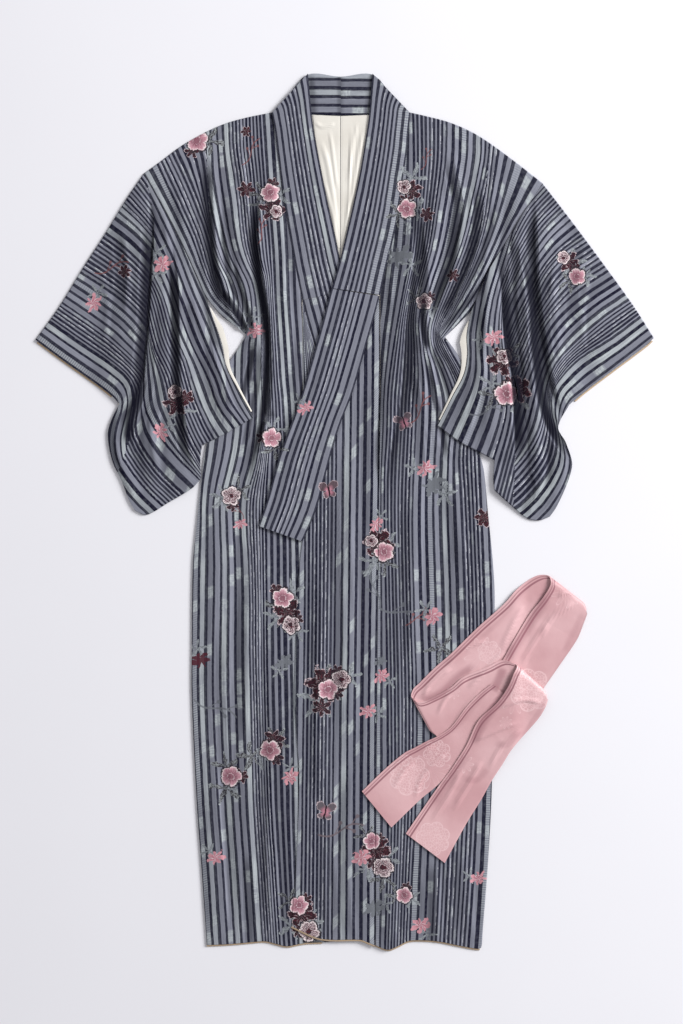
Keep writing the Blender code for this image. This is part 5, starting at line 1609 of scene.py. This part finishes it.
sashStamps = [
    ("bloom", (116, -474), 38, 0, 0), ("bloom", (166, -435), 26, 30, 0), ("leaf", (156, -465), 36, 300, 0),
    ("star", (215, -453), 18, 40, 0), ("bloom", (334, -321), 40, 0, 0), ("leaf", (305, -339), 26, 60, 0),
    ("bloom", (159, -588), 32, 20, 0), ("leaf", (132, -597), 24, 100, 0), ("star", (195, -325), 13, 10, 0),
    ("leaf", (247, -258), 34, 200, 0), ("bloom", (260, -253), 22, 10, 0), ("leaf", (399, -145), 30, 40, 0),
    ("star", (289, -379), 12, 300, 0),
]
sashStamps = [(kind, *spot, size, turn, tone) for kind, spot, size, turn, tone in sashStamps]
sashCreases = [
    ([(85, -501), (121, -451), (165, -420)], 6, 10, 2.0),
    ([(125, -523), (143, -474), (186, -433)], 5, 9, 1.6),
    ([(154, -559), (183, -519), (211, -462)], 6, 9, 1.7),
    ([(193, -541), (219, -498), (247, -447)], 6, 10, 2.2),
    ([(226, -415), (265, -397), (309, -379)], 6, 9, 1.8),
    ([(258, -465), (280, -426), (319, -390)], 6, 9, 2.0),
    ([(276, -354), (316, -339), (352, -343)], 6, 9, 1.6),
    ([(139, -339), (157, -307), (193, -282)], 5, 8, 2.0),
    ([(165, -368), (186, -332), (222, -300)], 5, 8, 2.0),
    ([(193, -390), (219, -350), (247, -321)], 5, 8, 1.6),
    ([(179, -282), (215, -249), (255, -231)], 5, 8, 2.0),
    ([(219, -321), (258, -282), (291, -249)], 5, 8, 1.8),
    ([(219, -231), (269, -181), (305, -141)], 6, 9, 1.8),
    ([(280, -253), (301, -206), (323, -167)], 6, 9, 1.6),
    ([(352, -231), (373, -192), (413, -163)], 7, 10, 2.2),
    ([(316, -282), (341, -235), (366, -199)], 7, 10, 1.8),
    ([(381, -156), (399, -145), (424, -152)], 6, 9, 1.8),
]
sashPleats = [
    ([(139, -339), (143, -321), (154, -305)], 3, 4, 2.4),
    ([(156, -334), (161, -311), (172, -293)], 3, 4, 2.4),
    ([(174, -325), (179, -300), (192, -280)], 3, 4, 2.0),
    ([(193, -311), (199, -289), (208, -269)], 3, 4, 1.6),
]
# lines of shade painted inside the sash's loops and beside the edges that lie over it
sashShades = [
    ([(125, -329), (150, -339), (179, -325), (204, -300), (237, -278)], 3, 9, 0.75),
    ([(125, -325), (136, -305), (161, -282), (193, -255)], 9, 3, 0.3),
    ([(364, -131), (352, -163), (323, -210), (294, -253), (280, -271)], 3, 12, 0.75),
    ([(301, -278), (294, -307), (269, -343), (244, -379), (226, -419)], 3, 11, 0.8),
    ([(280, -296), (251, -321), (226, -354), (201, -383), (172, -401)], 2, 7, 0.35),
    ([(222, -426), (204, -451), (179, -491), (154, -530)], 3, 12, 0.5),
    ([(265, -415), (291, -419), (316, -390)], 5, 6, 0.35),
    ([(211, -480), (237, -483), (258, -462)], 5, 6, 0.35),
    ([(388, -258), (409, -221), (427, -181)], 8, 3, 0.3),
    ([(316, -411), (337, -375), (363, -332)], 8, 3, 0.3),
    ([(287, -278), (278, -300), (267, -325)], 8, 7, 0.8),
    ([(339, -123), (316, -149), (280, -192), (240, -231)], 2, 5, 0.3),
]


sashForm = {
    "between": 14, "cornerRound": 13.0, "ease": 2.4, "smoothEdge": 12,
    "across": (np.linspace(0, 0.1, 4), np.linspace(0.13, 0.85, 16), np.linspace(0.88, 1, 9)),
    "swellAt": [0, 0.1, 0.13, 0.4, 0.7, 0.97, 1.0], "swell": [-0.6, -0.6, 0.0, 0.25, 0.25, 0.0, -0.5],
}


def sashPiece(name, node, path):
    # stations of the folded band, made finer along and across it
    between, cornerRound = sashForm["between"], sashForm["cornerRound"]
    rows = np.array([(*a, *b, c, d, e) for a, b, c, d, e in path], float)
    count = len(rows) - 1
    fine = np.linspace(0, count, count * between + 1)
    lines = {}
    for key, columns in (("upper", (0, 1)), ("lower", (2, 3)), ("rise", (4, 5)), ("way", (6, 6))):
        dense, _, _ = spline([tuple(row[list(columns)] + 1e-7 * k) for k, row in enumerate(rows)], between)
        lines[key] = dense
    turns = [k for k in range(1, count) if path[k][4] == 0]
    for k in turns:
        # the band stays level until close to each turn, then rolls over
        for other in (k - 1, k + 1):
            here = (fine - k) * (other - k) >= 0
            here &= np.abs(fine - k) <= 1
            eased = (1 - (1 - np.abs(fine[here] - k)) ** sashForm["ease"])[:, None]
            lines["rise"][here] = rows[k, 4:6] + (rows[other, 4:6] - rows[k, 4:6]) * eased
            lines["way"][here] = rows[other, 6] * eased
    s = np.concatenate(sashForm["across"])
    plan = lines["upper"][None] * (1 - s)[:, None, None] + lines["lower"][None] * s[:, None, None]
    for k in turns:
        # the outer corner of each turn is rounded off
        reach = np.linalg.norm(plan[-1, k * between] - plan[0, k * between])
        cut = np.clip(1 - (1 - s) * reach / cornerRound, 0, 1)
        cut = cornerRound * (1 - np.sqrt(1 - cut**2))
        away = plan[:, k * between] - 0.5 * (plan[:, (k - 1) * between] + plan[:, (k + 1) * between])
        away /= np.linalg.norm(away, axis=1, keepdims=True)
        near = np.clip(1 - np.abs(fine - k), 0, 1)
        plan -= cut[:, None, None] * near[None, :, None] * away[:, None]
    rise = lines["rise"][:, 0] * (1 - s)[:, None] + lines["rise"][:, 1] * s[:, None]
    way = np.clip(lines["way"][:, 0], -1, 1)[None, :]
    rest = sashRest(plan)
    swell = np.interp(s, sashForm["swellAt"], sashForm["swell"])[:, None]
    half = 0.5 * cloth["sashWall"]
    wrinkles = foldHeight(plan, sashCreases) + np.where(way < 0, foldHeight(plan, sashPleats), 0)
    wrinkles = wrinkles * np.clip(np.minimum(s, 1 - s) * sashForm["smoothEdge"], 0, 1)[:, None]
    shade, _ = valleyShade(plan, sashShades)
    middleHeight = rest + rise + half + wrinkles * np.abs(way)
    turnShare = np.sqrt(np.clip(1 - way**2, 0, 1))[..., None]
    heading = np.zeros_like(plan)
    for k in turns:
        at = k * between
        bulge = plan[:, at] - 0.5 * (plan[:, at - between] + plan[:, at + between])
        unit = bulge / np.linalg.norm(bulge, axis=1, keepdims=True)
        near = np.abs(fine - k) < 1
        heading[:, near] = unit[:, None]
    proud, under = (np.where(side * way > 0, swell * way, 0) for side in (1, -1))
    away = heading * turnShare * half
    outer = withHeight(plan + away, middleHeight + half * way + proud)
    inner = withHeight(plan - away, middleHeight - half * way + under)
    steps = np.diff(0.5 * (lines["upper"] + lines["lower"]), axis=0)
    runs = np.concatenate([[0], np.cumsum(np.linalg.norm(steps, axis=1))])
    piece = meshGrid(name, outer, inner, [pinkSatin], stamps=sashStamps, paintedShade=shade)
    addBandMap(piece, outer, inner, s, runs)
    return dressed(piece, [node])


def addBandMap(piece, outer, inner, s, runs):
    # share across the band and length along it, looked up by the nearest made place
    columns, rows = outer.shape[:2]
    tree = kdtree.KDTree(2 * columns * rows)
    for layer, grid in enumerate((outer, inner)):
        for k, spot in enumerate(((grid - middle) * mm).reshape(-1, 3)):
            tree.insert(spot, layer * columns * rows + k)
    tree.balance()
    mesh = piece.data
    spots = [divmod(tree.find(vert.co)[1] % (columns * rows), rows) for vert in mesh.vertices]
    layer = mesh.uv_layers.new(name="stripes")
    for loop, item in zip(mesh.loops, layer.data):
        column, row = spots[loop.vertex_index]
        item.uv = (s[column], runs[row] * mm)


sashPiece("sashCloth", "sash", sashPath)
sashPiece("sashEndCloth", "sash_end", sashEndPath)
print("sash laid")

# floor, light and camera
floorFacts = {
    "half": 6.0, "below": 0.0004, "roughness": 0.7, "sheen": 0.0, "cloudScale": 3.0,
    "colour": (0.78, 0.775, 0.81), "cloud": (0.805, 0.80, 0.835),
}
floorMesh = bpy.data.meshes.new("floor")
bm = bmesh.new()
bmesh.ops.create_grid(bm, x_segments=1, y_segments=1, size=floorFacts["half"])
bm.to_mesh(floorMesh)
bm.free()
floor = bpy.data.objects.new("floor", floorMesh)
floor.location.z = -floorFacts["below"]
bpy.context.scene.collection.objects.link(floor)
floorLook = Looks("pale floor", floorFacts)
clouds = floorLook.noise(floorLook.objectPlace(), floorFacts["cloudScale"], 3.0)
floorColour = floorLook.mix(clouds, floorFacts["colour"], floorFacts["cloud"])
floorLook.put(floorLook.shader.inputs["Base Color"], floorColour)
floorMesh.materials.append(floorLook.made)

bpy.context.scene.view_settings.view_transform = "Standard"
studio = {
    "world": (0.97, 0.965, 1.0), "worldStrength": 0.50, "key": 610.0, "keySize": 2.8,
    "keyPlace": (5.2, 2.7, 3.4),
}
world = bpy.data.worlds.new("studio")
bpy.context.scene.world = world
world.use_nodes = True
world.node_tree.nodes["Background"].inputs["Color"].default_value = (*studio["world"], 1)
world.node_tree.nodes["Background"].inputs["Strength"].default_value = studio["worldStrength"]
lamp = bpy.data.lights.new("soft key", "AREA")
lamp.energy, lamp.size = studio["key"], studio["keySize"]
lampObject = bpy.data.objects.new("soft key", lamp)
lampObject.location = studio["keyPlace"]
keyX, keyY, keyZ = studio["keyPlace"]
tilt, turn = math.atan2(math.hypot(keyX, keyY), keyZ), math.atan2(-keyX, keyY) + math.pi
lampObject.rotation_euler = (tilt, 0.0, turn)  # the key light looks at the middle of the robe
bpy.context.scene.collection.objects.link(lampObject)

cameraFacts = {"place": (-0.0056, 0.0004, 4.5), "lens": 87.9, "sensor": 36.0, "reach": 50.0}
camera = bpy.data.cameras.new("overhead")
camera.lens, camera.sensor_width = cameraFacts["lens"], cameraFacts["sensor"]
camera.clip_end = cameraFacts["reach"]
cameraObject = bpy.data.objects.new("overhead", camera)
cameraObject.location = cameraFacts["place"]
bpy.context.scene.collection.objects.link(cameraObject)
bpy.context.scene.camera = cameraObject

print("studio ready")
